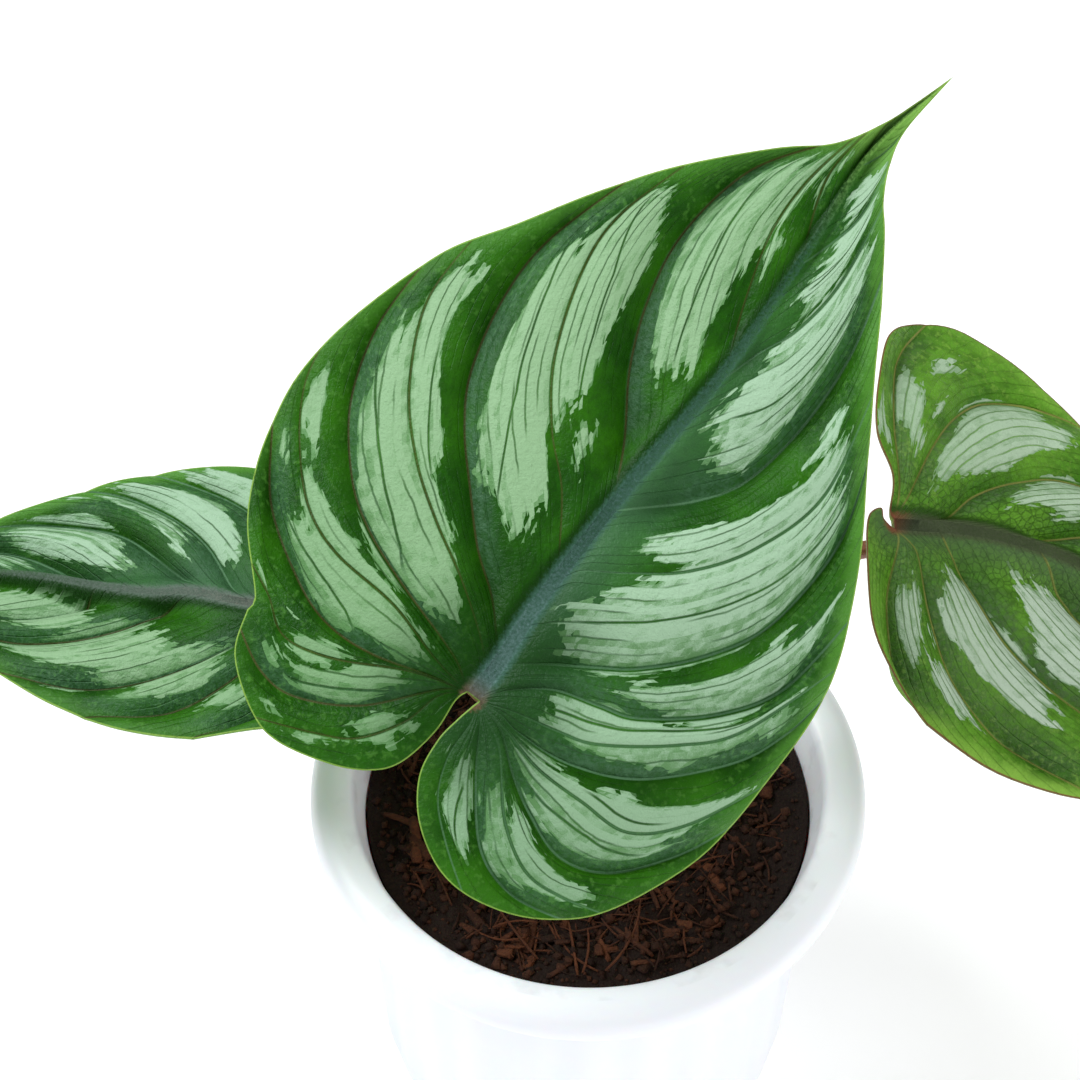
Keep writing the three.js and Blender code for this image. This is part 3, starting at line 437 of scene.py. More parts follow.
# A smooth plane curve through given points, walked evenly by its own length.
class PlaneCurve:
    def __init__(self, points):
        self.points = np.array(points, float)
        self.steps = np.linspace(0, 1, 201)
        walk = np.hypot(*np.diff(self.byStep(self.steps), axis=0).T)
        self.walked = np.concatenate([[0], np.cumsum(walk)])

    def byStep(self, t):
        count = len(self.points)
        x = np.asarray(t, float) * (count - 1)
        i = np.minimum(np.floor(x).astype(int), count - 1)
        f = (x - i)[..., None]
        p0, p1, p2, p3 = [self.points[np.clip(i + k, 0, count - 1)] for k in (-1, 0, 1, 2)]
        v0, v1 = (p2 - p0) / 2, (p3 - p1) / 2
        cubic = (2 * p1 - 2 * p2 + v0 + v1) * f ** 3 + (-3 * p1 + 3 * p2 - 2 * v0 - v1) * f ** 2
        return cubic + v0 * f + p1

    def __call__(self, share):
        length = np.clip(share, 0, 1) * self.walked[-1]
        return self.byStep(np.interp(length, self.walked, self.steps))

    def nearestShare(self, point):
        shares = np.linspace(0, 1, 501)
        return shares[np.hypot(*(self(shares) - np.asarray(point)).T).argmin()]


# One half of a blade as a fan of curves from the midrib to the margin: the sinus edge, the veins, the tip.
class BladeHalf:
    def __init__(self, blade, side):
        half = blade["left" if side < 0 else "right"]
        self.blade = blade
        self.side = side
        self.silver = half["silver"]
        self.splits = half.get("splits", {})
        self.midrib = PlaneCurve(blade["midrib"])
        self.outline = PlaneCurve([self.ribEdge(0.0).tolist()] + half["outline"])
        sinusShare = self.outline.nearestShare(half["sinusEnd"])
        tip = self.midrib(1.0)
        self.curves = [lambda w: self.outline(np.asarray(w) * sinusShare)]
        self.starts, self.ends, self.sinks = [0.0], [sinusShare], [0.0]
        for vein in half["veins"]:
            path = vein["path"]
            start = self.midrib.nearestShare(path[0])
            fromJunction = start < junctionShare
            start = 0.0 if fromJunction else start
            end = self.outline.nearestShare(path[-1])
            inner = path[:-1] if fromJunction else path[1:-1]
            self.curves.append(PlaneCurve([self.ribEdge(start)] + inner + [self.outline(end)]))
            self.starts.append(start)
            self.ends.append(end)
            self.sinks.append(quilt["minorShare"] if vein.get("minor") else 1.0)
        self.curves.append(lambda w: np.broadcast_to(tip, np.shape(w) + (2,)))
        self.starts.append(1.0)
        self.ends.append(1.0)
        self.sinks.append(0.0)
        self.cells = len(self.curves) - 1
        self.lines = [curve(np.linspace(0, 1, 90)) for curve in self.curves]
        self.outlineLine = self.outline(np.linspace(0, 1, 400))
        self.midribLine = self.midrib(np.linspace(0, 1, 160))
        widths = [np.hypot(*(self.lines[k] - self.lines[k + 1]).T).mean() for k in range(self.cells)]
        self.strips = [max(2, round(width / quilt["stripWidth"])) for width in widths]
        # the right half counts its strips from a number that the left half never reaches
        self.firstStrips = np.concatenate([[0], np.cumsum(self.strips)]) + (0 if side < 0 else 400)

    def ribEdge(self, share):
        before, after = self.midrib(np.clip(share - 1e-4, 0, 1)), self.midrib(np.clip(share + 1e-4, 0, 1))
        along = (after - before) / np.linalg.norm(after - before)
        offset = self.side * self.blade["ribHalfWidth"] * (1 - share) ** 0.7
        return self.midrib(share) + np.array([along[1], -along[0]]) * offset

    # v counts the curves of the fan, and w runs from the midrib (0) to the margin (1)
    def points(self, v, w):
        k = min(int(v), self.cells - 1)
        f = v - k
        mixed = lambda at: self.curves[k](at) * (1 - f) + self.curves[k + 1](at) * f
        start = self.starts[k] + (self.starts[k + 1] - self.starts[k]) * f
        end = self.ends[k] + (self.ends[k + 1] - self.ends[k]) * f
        ribMiss = self.ribEdge(start) - mixed(0.0)
        rimMiss = self.outline(end) - mixed(1.0)
        return mixed(w) + np.outer((1 - w) ** 2, ribMiss) + np.outer(w ** 2, rimMiss)

    def valley(self, k, w):
        before, after = self.curves[max(k - 1, 0)](w), self.curves[min(k + 1, self.cells)](w)
        fade = smoothStep(w, 0, quilt["start"]) * (1 - (1 - quilt["marginFade"]) * smoothStep(w, 0.65, 1))
        return self.sinks[k] * quilt["valleyShare"] * np.hypot(*(before - after).T) * fade

    def height(self, v, w, points, veinGap):
        k = min(int(v), self.cells - 1)
        f = v - k
        blade = self.blade
        height = -self.valley(k, w) * (1 - f) ** quilt["power"] - self.valley(k + 1, w) * f ** quilt["power"]
        fromRib = np.hypot(*(points - self.points(v, np.array([0.0]))).T)
        along = np.clip(points[:, 1] / blade["length"], 0, 1)
        groove = np.exp(-(fromRib / quilt["grooveWidth"]) ** 2)
        height -= quilt["grooveDepth"] * (1 - along) ** 0.5 * groove
        across = np.abs(points[:, 0]) / blade["halfWidth"]
        inside = np.minimum(across, 1)
        height += blade["arch"] * 4 * inside * (1 - inside)
        height -= blade["droop"][0 if self.side < 0 else 1] * across ** 2
        height -= blade["tipFall"] * (points[:, 1] / blade["length"]) ** 2
        crease = np.exp(-(veinGap / quilt["veinCutWidth"]) ** 2) * smoothStep(w, 0, 0.1)
        return height - quilt["veinCut"] * crease * (1 - 0.6 * smoothStep(w, 0.7, 1))


# The shortest distance from each point to the nearest of some lines of points.
def gapTo(points, lines, limit=math.inf):
    gap = np.full(len(points), limit)
    for line in lines:
        steps = line[1:] - line[:-1]
        away = points[:, None] - line[:-1]
        t = np.clip((away * steps).sum(2) / np.maximum((steps ** 2).sum(1), 1e-9), 0, 1)
        gap = np.minimum(gap, np.sqrt(((away - t[..., None] * steps) ** 2).sum(2).min(1)))
    return gap


# How far inside the silver each point of a row lies, in millimetres along the row.
def silverReach(bands, v, w, walked, cellWidth):
    reach = np.full(len(w), -deepest)
    for band in bands:
        places, starts, ends = np.array(band).T
        first = np.interp(np.interp(v, places, starts), w, walked)
        last = np.interp(np.interp(v, places, ends), w, walked)
        inside = np.minimum(walked - first, last - walked)
        past = max(places[0] - quilt["silverPast"] - v, v - places[-1] - quilt["silverPast"], 0)
        reach = np.maximum(reach, np.minimum(inside, deepest) - past * cellWidth * quilt["silverFray"])
    return reach


# One row across half a blade, from the midrib to the margin: its points, the blade's thickness below them,
# and what the skin's pattern is drawn from there, in the order of bladeFields.
def bladeRow(half, v, w):
    k = int(v)
    f = v - k
    blade, side = half.blade, half.side
    points = half.points(v, w)
    walked = np.concatenate([[0], np.cumsum(np.hypot(*np.diff(points, axis=0).T))])
    cellWidth = np.hypot(*(half.curves[k](w) - half.curves[k + 1](w)).T)
    near = [j for j in range(k - 1, k + 3) if 0 < j < half.cells]
    mainVein = gapTo(points, [half.lines[j] for j in near if half.sinks[j] == 1], farOff)
    minorVein = gapTo(points, [half.lines[j] for j in near if half.sinks[j] < 1], farOff)
    margin = gapTo(points, [half.outlineLine])
    midrib = gapTo(points, [half.midribLine])
    start = half.starts[k] + (half.starts[k + 1] - half.starts[k]) * f
    height = half.height(v, w, points, np.minimum(mainVein, minorVein + 0.4))
    drop = quilt["marginThickness"]
    drop += (blade["thickness"] - quilt["marginThickness"]) * smoothStep(margin, 0, 2.5)
    drop += quilt["ribDrop"] * (1 - start) ** 0.7 * np.exp(-(midrib / 2) ** 2)
    drop += quilt["veinKeel"] * np.exp(-(mainVein / 0.9) ** 2) * (1 - w) ** 0.8

    # painted sheen: a dusky blue-grey on the flank of each panel that rises from its main vein
    flank = gapTo(points, [half.lines[j] for j in near if half.sinks[j] == 1 and j <= k], farOff)
    flankSheen = 1 - smoothStep(flank, quilt["flankSheenNear"], quilt["flankSheenFar"][0 if side < 0 else 1])
    flankSheen = flankSheen * smoothStep(w, 0.03, 0.2) * (1 - smoothStep(w, 0.75, 1))
    split, splitHere = np.full(len(w), farOff), np.zeros(len(w))
    if k in half.splits:
        out, count = np.array(half.splits[k]).T
        split = (v - np.interp(w, out, count)) * cellWidth
        splitHere = smoothStep(w, out[0] - 0.03, out[0] + 0.03)
        splitHere = splitHere * (1 - smoothStep(w, out[-1] - 0.05, out[-1] + 0.05))
    row = np.stack([
        np.full(len(w), half.firstStrips[k] + f * half.strips[k]), cellWidth / half.strips[k],
        silverReach(half.silver, v, w, walked, cellWidth), walked, mainVein, minorVein, midrib, margin,
        points[:, 1] / blade["length"], np.full(len(w), side * 0.5 + 0.5), flankSheen, split, splitHere,
    ], axis=1)
    return np.column_stack([points, height]), drop, row, start


# The midrib's own strip is laced between the two halves' ribs, each a list of (share of the midrib, point).
def laceRibs(left, right):
    faces = []
    i, j = 0, 0
    while i + 1 < len(left) or j + 1 < len(right):
        leftNext = left[i + 1][0] if i + 1 < len(left) else math.inf
        rightNext = right[j + 1][0] if j + 1 < len(right) else math.inf
        if leftNext < rightNext:
            loop = [left[i][1], right[j][1], left[i + 1][1]]
            i += 1
        else:
            loop = [left[i][1], right[j][1], right[j + 1][1]]
            j += 1
        if len(set(loop)) == 3:
            faces.append(loop)
    return faces


def bladeSheet(blade, rowsPerCell, columnCount):
    w = np.linspace(0, 1, columnCount)
    w = w * 0.8 + smoothStep(w, 0, 1) * 0.2
    evenly = np.linspace(0, 1, rowsPerCell + 1)[:-1]
    inCell = evenly * 0.4 + (1 - np.cos(evenly * math.pi)) / 2 * 0.6  # closer rows beside the veins
    tops, drops, fields, sheet, ribs = [], [], [], [], []
    for side in (-1, 1):
        half = BladeHalf(blade, side)
        rib, rows = [], []
        for v in [k + f for k in range(half.cells) for f in inCell]:
            points, drop, row, start = bladeRow(half, v, w)
            first = len(tops)
            newRib = not rib or start > rib[-1][0]
            keep = 0 if newRib else 1  # rows that start at the same place share their first point
            tops += points[keep:].tolist()
            drops += drop[keep:].tolist()
            fields += row[keep:].tolist()
            if newRib:
                rib.append((start, first))
            rows.append([rib[-1][1]] + list(range(first + 1 - keep, first + len(w) - keep)))
        ribs.append(rib)
        sheet.append(rows)
    tip = PlaneCurve(blade["midrib"])(1.0)
    tipIndex = len(tops)
    tops.append([tip[0], tip[1], -blade["tipFall"]])
    drops.append(quilt["marginThickness"])
    fields.append([tipFields[field] for field in bladeFields])
    faces = []
    for side, rows in zip((-1, 1), sheet):
        rows.append([tipIndex] * len(w))
        for below, above in zip(rows[:-1], rows[1:]):
            for i in range(len(w) - 1):
                loop = list(dict.fromkeys([below[i], below[i + 1], above[i + 1], above[i]]))
                if len(loop) > 2:
                    faces.append(loop if side > 0 else loop[::-1])
    faces += laceRibs(*[rib + [(1.0, tipIndex)] for rib in ribs])
    return np.array(tops), np.array(drops), np.array(fields), faces


def rotation(axis, degrees):
    c, s = math.cos(math.radians(degrees)), math.sin(math.radians(degrees))
    if axis == "x":
        return np.array([[1, 0, 0], [0, c, -s], [0, s, c]])
    if axis == "y":
        return np.array([[c, 0, s], [0, 1, 0], [-s, 0, c]])
    return np.array([[c, -s, 0], [s, c, 0], [0, 0, 1]])


def bladeTurn(blade):
    return rotation("z", blade["heading"] - 90) @ rotation("x", blade["pitch"]) @ rotation("y", blade["roll"])


def buildBlade(name, node, blade, rowsPerCell, columnCount, material):
    tops, drops, fields, sheet = bladeSheet(blade, rowsPerCell, columnCount)
    bottoms = tops - upward * drops[:, None]
    count = len(tops)
    faces = sheet + [[i + count for i in reversed(face)] for face in sheet]
    edges = {(face[i - 1], face[i]) for face in sheet for i in range(len(face))}
    faces += [[b, a, a + count, b + count] for a, b in edges if (b, a) not in edges]
    points = np.concatenate([tops, bottoms]) @ bladeTurn(blade).T + np.array(blade["junction"])
    piece = makePiece(name, points, faces, material)
    for i, field in enumerate(bladeFields):
        setAttribute(piece, field, np.concatenate([fields[:, i], fields[:, i]]))
    setAttribute(piece, "under", np.concatenate([np.zeros(count), np.ones(count)]))
    standFor(piece, node)
    return piece


# Living leaf with a waxy cuticle: satin, with matt silver strips between fine dark veinlets. The deeper
# green in the creases is painted shade, and the dusky blue-grey on the vein flanks and beside the midrib
# is painted sheen. The air under the silver skin scatters light, so it reads pale and dry beside the green.
greenLook = {
    # valley: painted shade, the darker green along the main veins' creases
    "valley": "#184a02", "body": "#1e5604", "dark": "#103a02", "edge": "#559234", "tip": "#98d060",
    # silverLeftShaded: the left half's silver painted darker, as painted shade
    "silver": "#a0c2a2", "silverLeftShaded": "#8eb488", "silverDim": "#54864a",
    # veinRightLit: the main veins' paler tone on the right half, a painted highlight on their lit edge
    "vein": "#4a4a22", "veinRightLit": "#56805a",
    "rib": "#88a4aa", "ribShade": "#3a6050", "lit": "#367808",
    # paintedSheen: dusky blue-grey standing in for the sheen beside the midrib and on the vein flanks
    "margin": "#8ab04a", "junction": "#7a4a32", "under": "#6fa058", "paintedSheen": "#426a4a",
}
# the left leaf's rib is paler
paleRibLook = dict(greenLook, rib="#989188", ribShade="#5c6c60")
oliveLook = {
    # valley: painted shade, the darker green along the main veins' creases
    "valley": "#447a1a", "body": "#5a9028", "dark": "#28480f", "edge": "#8cbc48", "tip": "#8cae48",
    # silverLeftShaded: the left half's silver painted darker, as painted shade
    "silver": "#b4c8b2", "silverLeftShaded": "#a8c0a4", "silverDim": "#7c9c74",
    # veinRightLit: the main veins' paler tone on the right half, a painted highlight on their lit edge
    "vein": "#8a8c48", "veinRightLit": "#848a44",
    "rib": "#5e6450", "ribShade": "#465234", "lit": "#6ca42e",
    # paintedSheen: dusky blue-grey standing in for the sheen beside the midrib and on the vein flanks
    "margin": "#7c4634", "junction": "#8c4630", "under": "#7c9458", "paintedSheen": "#4e6444",
}
leafFinish = {"IOR": 1.45, "Specular IOR Level": 0.25, "Specular Tint": (0.86, 0.93, 1.0, 1)}
leafPattern = {
    # noises by name: how large their patches are, and how detailed
    "noises": {"grain": (0.22, 2), "bead": (0.5, 2), "fleck": (1.2, 3), "patch": (4, 3), "cloud": (14, 3)},
    "sway": [0.7, 0.25],  # strips by which veinlets wander, over a cloud and over a patch
    "swayMean": 0.475,
    "veinletEdge": [0.04, 0.3],  # from its middle, a veinlet is full up to here and gone here
    "splitEdge": [0.1, 0.38],  # the same for the veins that part the silver
    "cellsAcross": 2.2,  # cells of the silver's net across one strip
    "cellsAlong": 0.55,  # and for each millimetre outwards
    "halfStep": 3.0,  # how far a band's end shifts from one half strip to the next
    "laneStep": 3.0,  # and along the strips
    "snap": 1.3,  # the length that these shifts come in
    "cellStep": 3.6,  # how far single cells stand out beyond
    "stepMean": 4.75,
    "mainVeinEdge": [0.35, 0.7],  # silver stops here beside a main vein
    "minorVeinEdge": [0.15, 0.45],
    "veinletShade": 0.76,  # how much of the silver a veinlet takes away
}


# A net of fine veinlets between the veins. They wander a little, and each comes and goes on its way.
def veinletNet(tree, field, noise, net):
    pattern = leafPattern
    strip = addNode(tree, "ShaderNodeMath", {"operation": "MULTIPLY_ADD"},
                    [noise["cloud"], pattern["sway"][0], field["strip"]])[0]
    strip = addNode(tree, "ShaderNodeMath", {"operation": "MULTIPLY_ADD"},
                    [noise["patch"], pattern["sway"][1], strip])[0]
    strip = addNode(tree, "ShaderNodeMath", {"operation": "SUBTRACT"}, [strip, pattern["swayMean"]])[0]
    nearest = addNode(tree, "ShaderNodeMath", {"operation": "ROUND"}, [strip])[0]
    gap = addNode(tree, "ShaderNodeMath", {"operation": "SUBTRACT"}, [strip, nearest])[0]
    gap = addNode(tree, "ShaderNodeMath", {"operation": "ABSOLUTE"}, [gap])[0]
    gap = addNode(tree, "ShaderNodeMath", {"operation": "MULTIPLY"}, [gap, field["stripWidth"]])[0]
    course = addNode(tree, "ShaderNodeMath", {"operation": "MULTIPLY"}, [field["along"], 0.014])[0]
    course = addNode(tree, "ShaderNodeCombineXYZ", None, [nearest, course, 0.0])[0]
    strength = addNode(tree, "ShaderNodeTexNoise", {"noise_dimensions": "2D"}, {
        "Vector": course, "Scale": 3.7, "Detail": 1.0})[0]
    strength = addNode(tree, "ShaderNodeMapRange", {"interpolation_type": "SMOOTHSTEP"},
                       [strength, 0.4 - 0.3 * net, 0.6 - 0.2 * net, net, 1.0])[0]
    veinlet = addNode(tree, "ShaderNodeMapRange", {"interpolation_type": "SMOOTHSTEP"},
                      [gap, *pattern["veinletEdge"], 1.0, 0.0])[0]
    veinlet = addNode(tree, "ShaderNodeMath", {"operation": "MULTIPLY"}, [veinlet, strength])[0]
    split = addNode(tree, "ShaderNodeMath", {"operation": "ABSOLUTE"}, [field["split"]])[0]
    split = addNode(tree, "ShaderNodeMapRange", {"interpolation_type": "SMOOTHSTEP"},
                    [split, *pattern["splitEdge"], 1.25, 0.0])[0]
    split = addNode(tree, "ShaderNodeMath", {"operation": "MULTIPLY"}, [split, field["splitHere"]])[0]
    veinlet = addNode(tree, "ShaderNodeMath", {"operation": "MAXIMUM"}, [veinlet, split])[0]
    return strip, veinlet


# Silver fills whole cells of the net, so its edges step from cell to cell and from strip to strip. Its own
# tone is dim at the edges and in some cells, and bright and finely grained inside.
def silverSkin(tree, field, noise, strip, veinlet, colour):
    pattern = leafPattern
    across = addNode(tree, "ShaderNodeMath", {"operation": "MULTIPLY"}, [strip, pattern["cellsAcross"]])[0]
    along = addNode(tree, "ShaderNodeMath", {"operation": "MULTIPLY"},
                    [field["along"], pattern["cellsAlong"]])[0]
    cell = addNode(tree, "ShaderNodeCombineXYZ", None, [across, along, 0.0])[0]
    cell = addNode(tree, "ShaderNodeTexVoronoi", {"voronoi_dimensions": "2D"}, {
        "Vector": cell, "Scale": 1.0, "Randomness": 0.5})
    cellChance = addNode(tree, "ShaderNodeSeparateColor", None, [cell["Color"]])
    half = addNode(tree, "ShaderNodeMath", {"operation": "MULTIPLY"}, [strip, 2.0])[0]
    half = addNode(tree, "ShaderNodeMath", {"operation": "FLOOR"}, [half])[0]
    halfChance = addNode(tree, "ShaderNodeTexWhiteNoise", {"noise_dimensions": "1D"}, {"W": half})[0]
    lane = addNode(tree, "ShaderNodeMath", {"operation": "MULTIPLY"}, [field["along"], 0.16])[0]
    lane = addNode(tree, "ShaderNodeCombineXYZ", None, [half, lane, 0.0])[0]
    lane = addNode(tree, "ShaderNodeTexNoise", {"noise_dimensions": "2D"}, {
        "Vector": lane, "Scale": 2.3, "Detail": 1.0})[0]
    reach = addNode(tree, "ShaderNodeMath", {"operation": "MULTIPLY_ADD"},
                    [halfChance, pattern["halfStep"], field["silver"]])[0]
    reach = addNode(tree, "ShaderNodeMath", {"operation": "MULTIPLY_ADD"},
                    [lane, pattern["laneStep"], reach])[0]
    reach = addNode(tree, "ShaderNodeMath", {"operation": "SNAP"}, [reach, pattern["snap"]])[0]
    reach = addNode(tree, "ShaderNodeMath", {"operation": "MULTIPLY_ADD"},
                    [cellChance[0], pattern["cellStep"], reach])[0]
    reach = addNode(tree, "ShaderNodeMath", {"operation": "SUBTRACT"}, [reach, pattern["stepMean"]])[0]
    silver = addNode(tree, "ShaderNodeMapRange", {"interpolation_type": "SMOOTHSTEP"},
                     [reach, -0.08, 0.12, 0.0, 1.0])[0]
    offMain = addNode(tree, "ShaderNodeMapRange", {"interpolation_type": "SMOOTHSTEP"},
                      [field["mainVein"], *pattern["mainVeinEdge"], 0.0, 1.0])[0]
    offMinor = addNode(tree, "ShaderNodeMapRange", {"interpolation_type": "SMOOTHSTEP"},
                       [field["minorVein"], *pattern["minorVeinEdge"], 0.0, 1.0])[0]
    offVeinlet = addNode(tree, "ShaderNodeMath", {"operation": "MULTIPLY_ADD"},
                         [veinlet, -pattern["veinletShade"], 1.0])[0]
    for share in (offMain, offMinor, offVeinlet):
        silver = addNode(tree, "ShaderNodeMath", {"operation": "MULTIPLY"}, [silver, share])[0]

    inner = addNode(tree, "ShaderNodeMapRange", {"interpolation_type": "SMOOTHSTEP"},
                    [reach, 0.1, 3.0, -0.8, 0.15])[0]
    bright = lane
    # silver is dimmer under the painted sheen on the vein flanks
    for source, share in [(cellChance[1], 0.45), (halfChance, 0.8), (noise["grain"], 0.8), (inner, 1.0),
                          (field["flankSheen"], -0.35)]:
        bright = addNode(tree, "ShaderNodeMath", {"operation": "MULTIPLY_ADD"}, [source, share, bright])[0]
    bright = addNode(tree, "ShaderNodeMapRange", {"interpolation_type": "SMOOTHSTEP"},
                     [bright, 0.75, 1.7, 0.15, 1.0])[0]
    low = addNode(tree, "ShaderNodeMapRange", None, [field["length"], -0.1, 0.3, 0.6, 1.0])[0]
    bright = addNode(tree, "ShaderNodeMath", {"operation": "MULTIPLY"}, [bright, low])[0]
    # the left half's silver is painted darker: painted shade
    tone = addNode(tree, "ShaderNodeMix", {"data_type": "RGBA"}, {
        0: field["side"], 6: colour["silverLeftShaded"], 7: colour["silver"]})[2]
    tone = addNode(tree, "ShaderNodeMix", {"data_type": "RGBA"}, {
        0: bright, 6: colour["silverDim"], 7: tone})[2]
    return silver, tone, lane


# The skin is laid on from the valleys' green upwards, one colour over the other. That valley green is painted
# shade: it is darker than the body green and shows in the creases along the main veins. A blade with more net
# shows its veinlets everywhere.
def leafMaterial(name, look, net=0.0):
    material, tree, skin = startMaterial(name, leafFinish)
    colour = {key: linearColour(value) for key, value in look.items()}
    field, noise, cover = {}, {}, {}
    for key in bladeFields + ["under"]:
        field[key] = addNode(tree, "ShaderNodeAttribute", {"attribute_name": key})["Fac"]
    place = addNode(tree, "ShaderNodeTexCoord")["Object"]
    for key, (size, detail) in leafPattern["noises"].items():
        noise[key] = addNode(tree, "ShaderNodeTexNoise", None, {
            "Vector": place, "Scale": 1 / (size * mm), "Detail": detail})[0]
    strip, veinlet = veinletNet(tree, field, noise, net)
    silver, silverTone, lane = silverSkin(tree, field, noise, strip, veinlet, colour)

    # what decides where the colours lie
    edge = addNode(tree, "ShaderNodeMath", {"operation": "MULTIPLY_ADD"},
                   [noise["patch"], 2.5, field["margin"]])[0]
    flankSheen = addNode(tree, "ShaderNodeMath", {"operation": "MULTIPLY_ADD"},
                   [noise["bead"], 0.5, noise["fleck"]])[0]
    ribGap = addNode(tree, "ShaderNodeMath", {"operation": "MULTIPLY_ADD"},
                     [field["length"], 2.6, field["midrib"]])[0]
    ribFar = addNode(tree, "ShaderNodeMath", {"operation": "MULTIPLY_ADD"}, [noise["fleck"], 2.2, ribGap])[0]
    ribFuzz = addNode(tree, "ShaderNodeMath", {"operation": "MULTIPLY_ADD"}, [noise["bead"], 1.5, ribGap])[0]
    mesh = addNode(tree, "ShaderNodeTexVoronoi", {"feature": "DISTANCE_TO_EDGE"}, {
        "Vector": place, "Scale": 1 / (1.5 * mm)})[0]

    # how much each colour covers: by what, from where to where, and how much at either end
    for key, source, low, high, first, last in [
        # painted shade: the darker valley green stays within a few millimetres of each main vein
        ("body", field["mainVein"], 0.5, 6, 0, 1),
        ("lane", lane, 0.3, 0.7, 0, 0.5),
        ("fleck", noise["fleck"], 0.42, 0.7, 0, 0.3),
        ("lit", noise["cloud"], 0.35, 0.7, 0, 0.6),
        # painted sheen on the vein flanks, broken up by fine noise
        ("flankSheen", flankSheen, 0.55, 1.0, 0.3, 0.85),
        ("mesh", mesh, 0.02, 0.14, 0.1 + net, 0),
        ("meshNear", field["midrib"], 5, 20, 1, 0.2),
        ("edge", edge, 1.5, 5.5, 0.85, 0),
        ("edgeHigh", field["length"], -0.05, 0.35, 0.15, 1),
        ("edgeSide", field["side"], 0, 1, 0.45, 1),
        ("dapple", noise["fleck"], 0.5, 0.72, 0, 0.4),
        ("dappleOut", field["margin"], 5, 24, 1, 0.1),
        ("leftSide", field["side"], 0, 1, 1, 0),
        ("tip", field["length"], 0.82, 0.98, 0, 1),
        # painted sheen on the right half beside the midrib, weaker towards the tip
        ("paintedSheen", ribFar, 3, 17 - 12 * net, 0.75, 0),
        ("paintedSheenFar", field["length"], 0.2, 0.8, 1, 0.2),
        ("vein", field["mainVein"], 0.08, 0.3, 0.85, 0),
        ("minor", field["minorVein"], 0.06, 0.26, 0.6, 0),
        ("rib", ribFuzz, 2.3, 3.8, 0.95, 0),
        ("ribTip", field["length"], 0.7, 0.95, 0, 1),
        ("junction", field["length"], -0.02, 0.035, 0.8, 0),
        ("ribCore", ribFuzz, 0.9, 2.7, 0.8, 0),
        # painted shade: a dark band along the left side of the midrib
        ("ribLeftShade", ribGap, 3.0, 4.6, 0.9, 0),
        ("heart", field["along"], 3, 24, 0.8 - 1.3 * net, 0),
        ("heartLow", field["length"], 0.08, 0.25, 1, 0),
        ("margin", field["margin"], 0.12, 0.35, 0.9, 0),
        ("underVein", field["mainVein"], 0.3, 0.9, 0.7, 0),
    ]:
        cover[key] = addNode(tree, "ShaderNodeMapRange", {"interpolation_type": "SMOOTHSTEP"},
                             [source, low, high, first, last])[0]
    for key, other in [
        ("flankSheen", field["flankSheen"]), ("mesh", cover["meshNear"]), ("edge", cover["edgeSide"]),
        ("edge", cover["edgeHigh"]), ("dapple", cover["dappleOut"]), ("ribLeftShade", cover["leftSide"]),
        ("paintedSheen", field["side"]), ("paintedSheen", cover["paintedSheenFar"]), ("heart", cover["heartLow"]),
    ]:
        cover[key] = addNode(tree, "ShaderNodeMath", {"operation": "MULTIPLY"}, [cover[key], other])[0]
    # main veins on the right half take the paler tone: painted highlight
    vein = addNode(tree, "ShaderNodeMix", {"data_type": "RGBA"}, {
        0: field["side"], 6: colour["vein"], 7: colour["veinRightLit"]})[2]
    rib = addNode(tree, "ShaderNodeMix", {"data_type": "RGBA"}, {
        0: cover["ribCore"], 6: colour["ribShade"], 7: colour["rib"]})[2]
    rib = addNode(tree, "ShaderNodeMix", {"data_type": "RGBA"}, {
        0: cover["junction"], 6: rib, 7: colour["junction"]})[2]
    rib = addNode(tree, "ShaderNodeMix", {"data_type": "RGBA"}, {
        0: cover["ribTip"], 6: rib, 7: colour["tip"]})[2]
    under = addNode(tree, "ShaderNodeMix", {"data_type": "RGBA"}, {
        0: cover["underVein"], 6: colour["under"], 7: colour["edge"]})[2]

    # the layers, from the lowest to the uppermost
    skinTone = colour["valley"]
    for share, over in [
        (cover["body"], colour["body"]), (cover["lane"], colour["dark"]), (cover["lit"], colour["lit"]),
        # painted sheen on the vein flanks
        (cover["fleck"], colour["dark"]), (cover["flankSheen"], colour["paintedSheen"]), (cover["mesh"], colour["dark"]),
        (cover["dapple"], colour["edge"]), (cover["edge"], colour["edge"]), (cover["tip"], colour["tip"]),
        # painted sheen beside the midrib
        (cover["paintedSheen"], colour["paintedSheen"]), (silver, silverTone), (cover["vein"], vein),
        # painted shade left of the midrib
        (cover["minor"], vein), (cover["heart"], colour["dark"]), (cover["ribLeftShade"], colour["dark"]),
        (cover["rib"], rib), (cover["margin"], colour["margin"]), (field["under"], under),
    ]:
        skinTone = addNode(tree, "ShaderNodeMix", {"data_type": "RGBA"}, {0: share, 6: skinTone, 7: over})[2]
    tree.links.new(skinTone, skin.inputs["Base Color"])

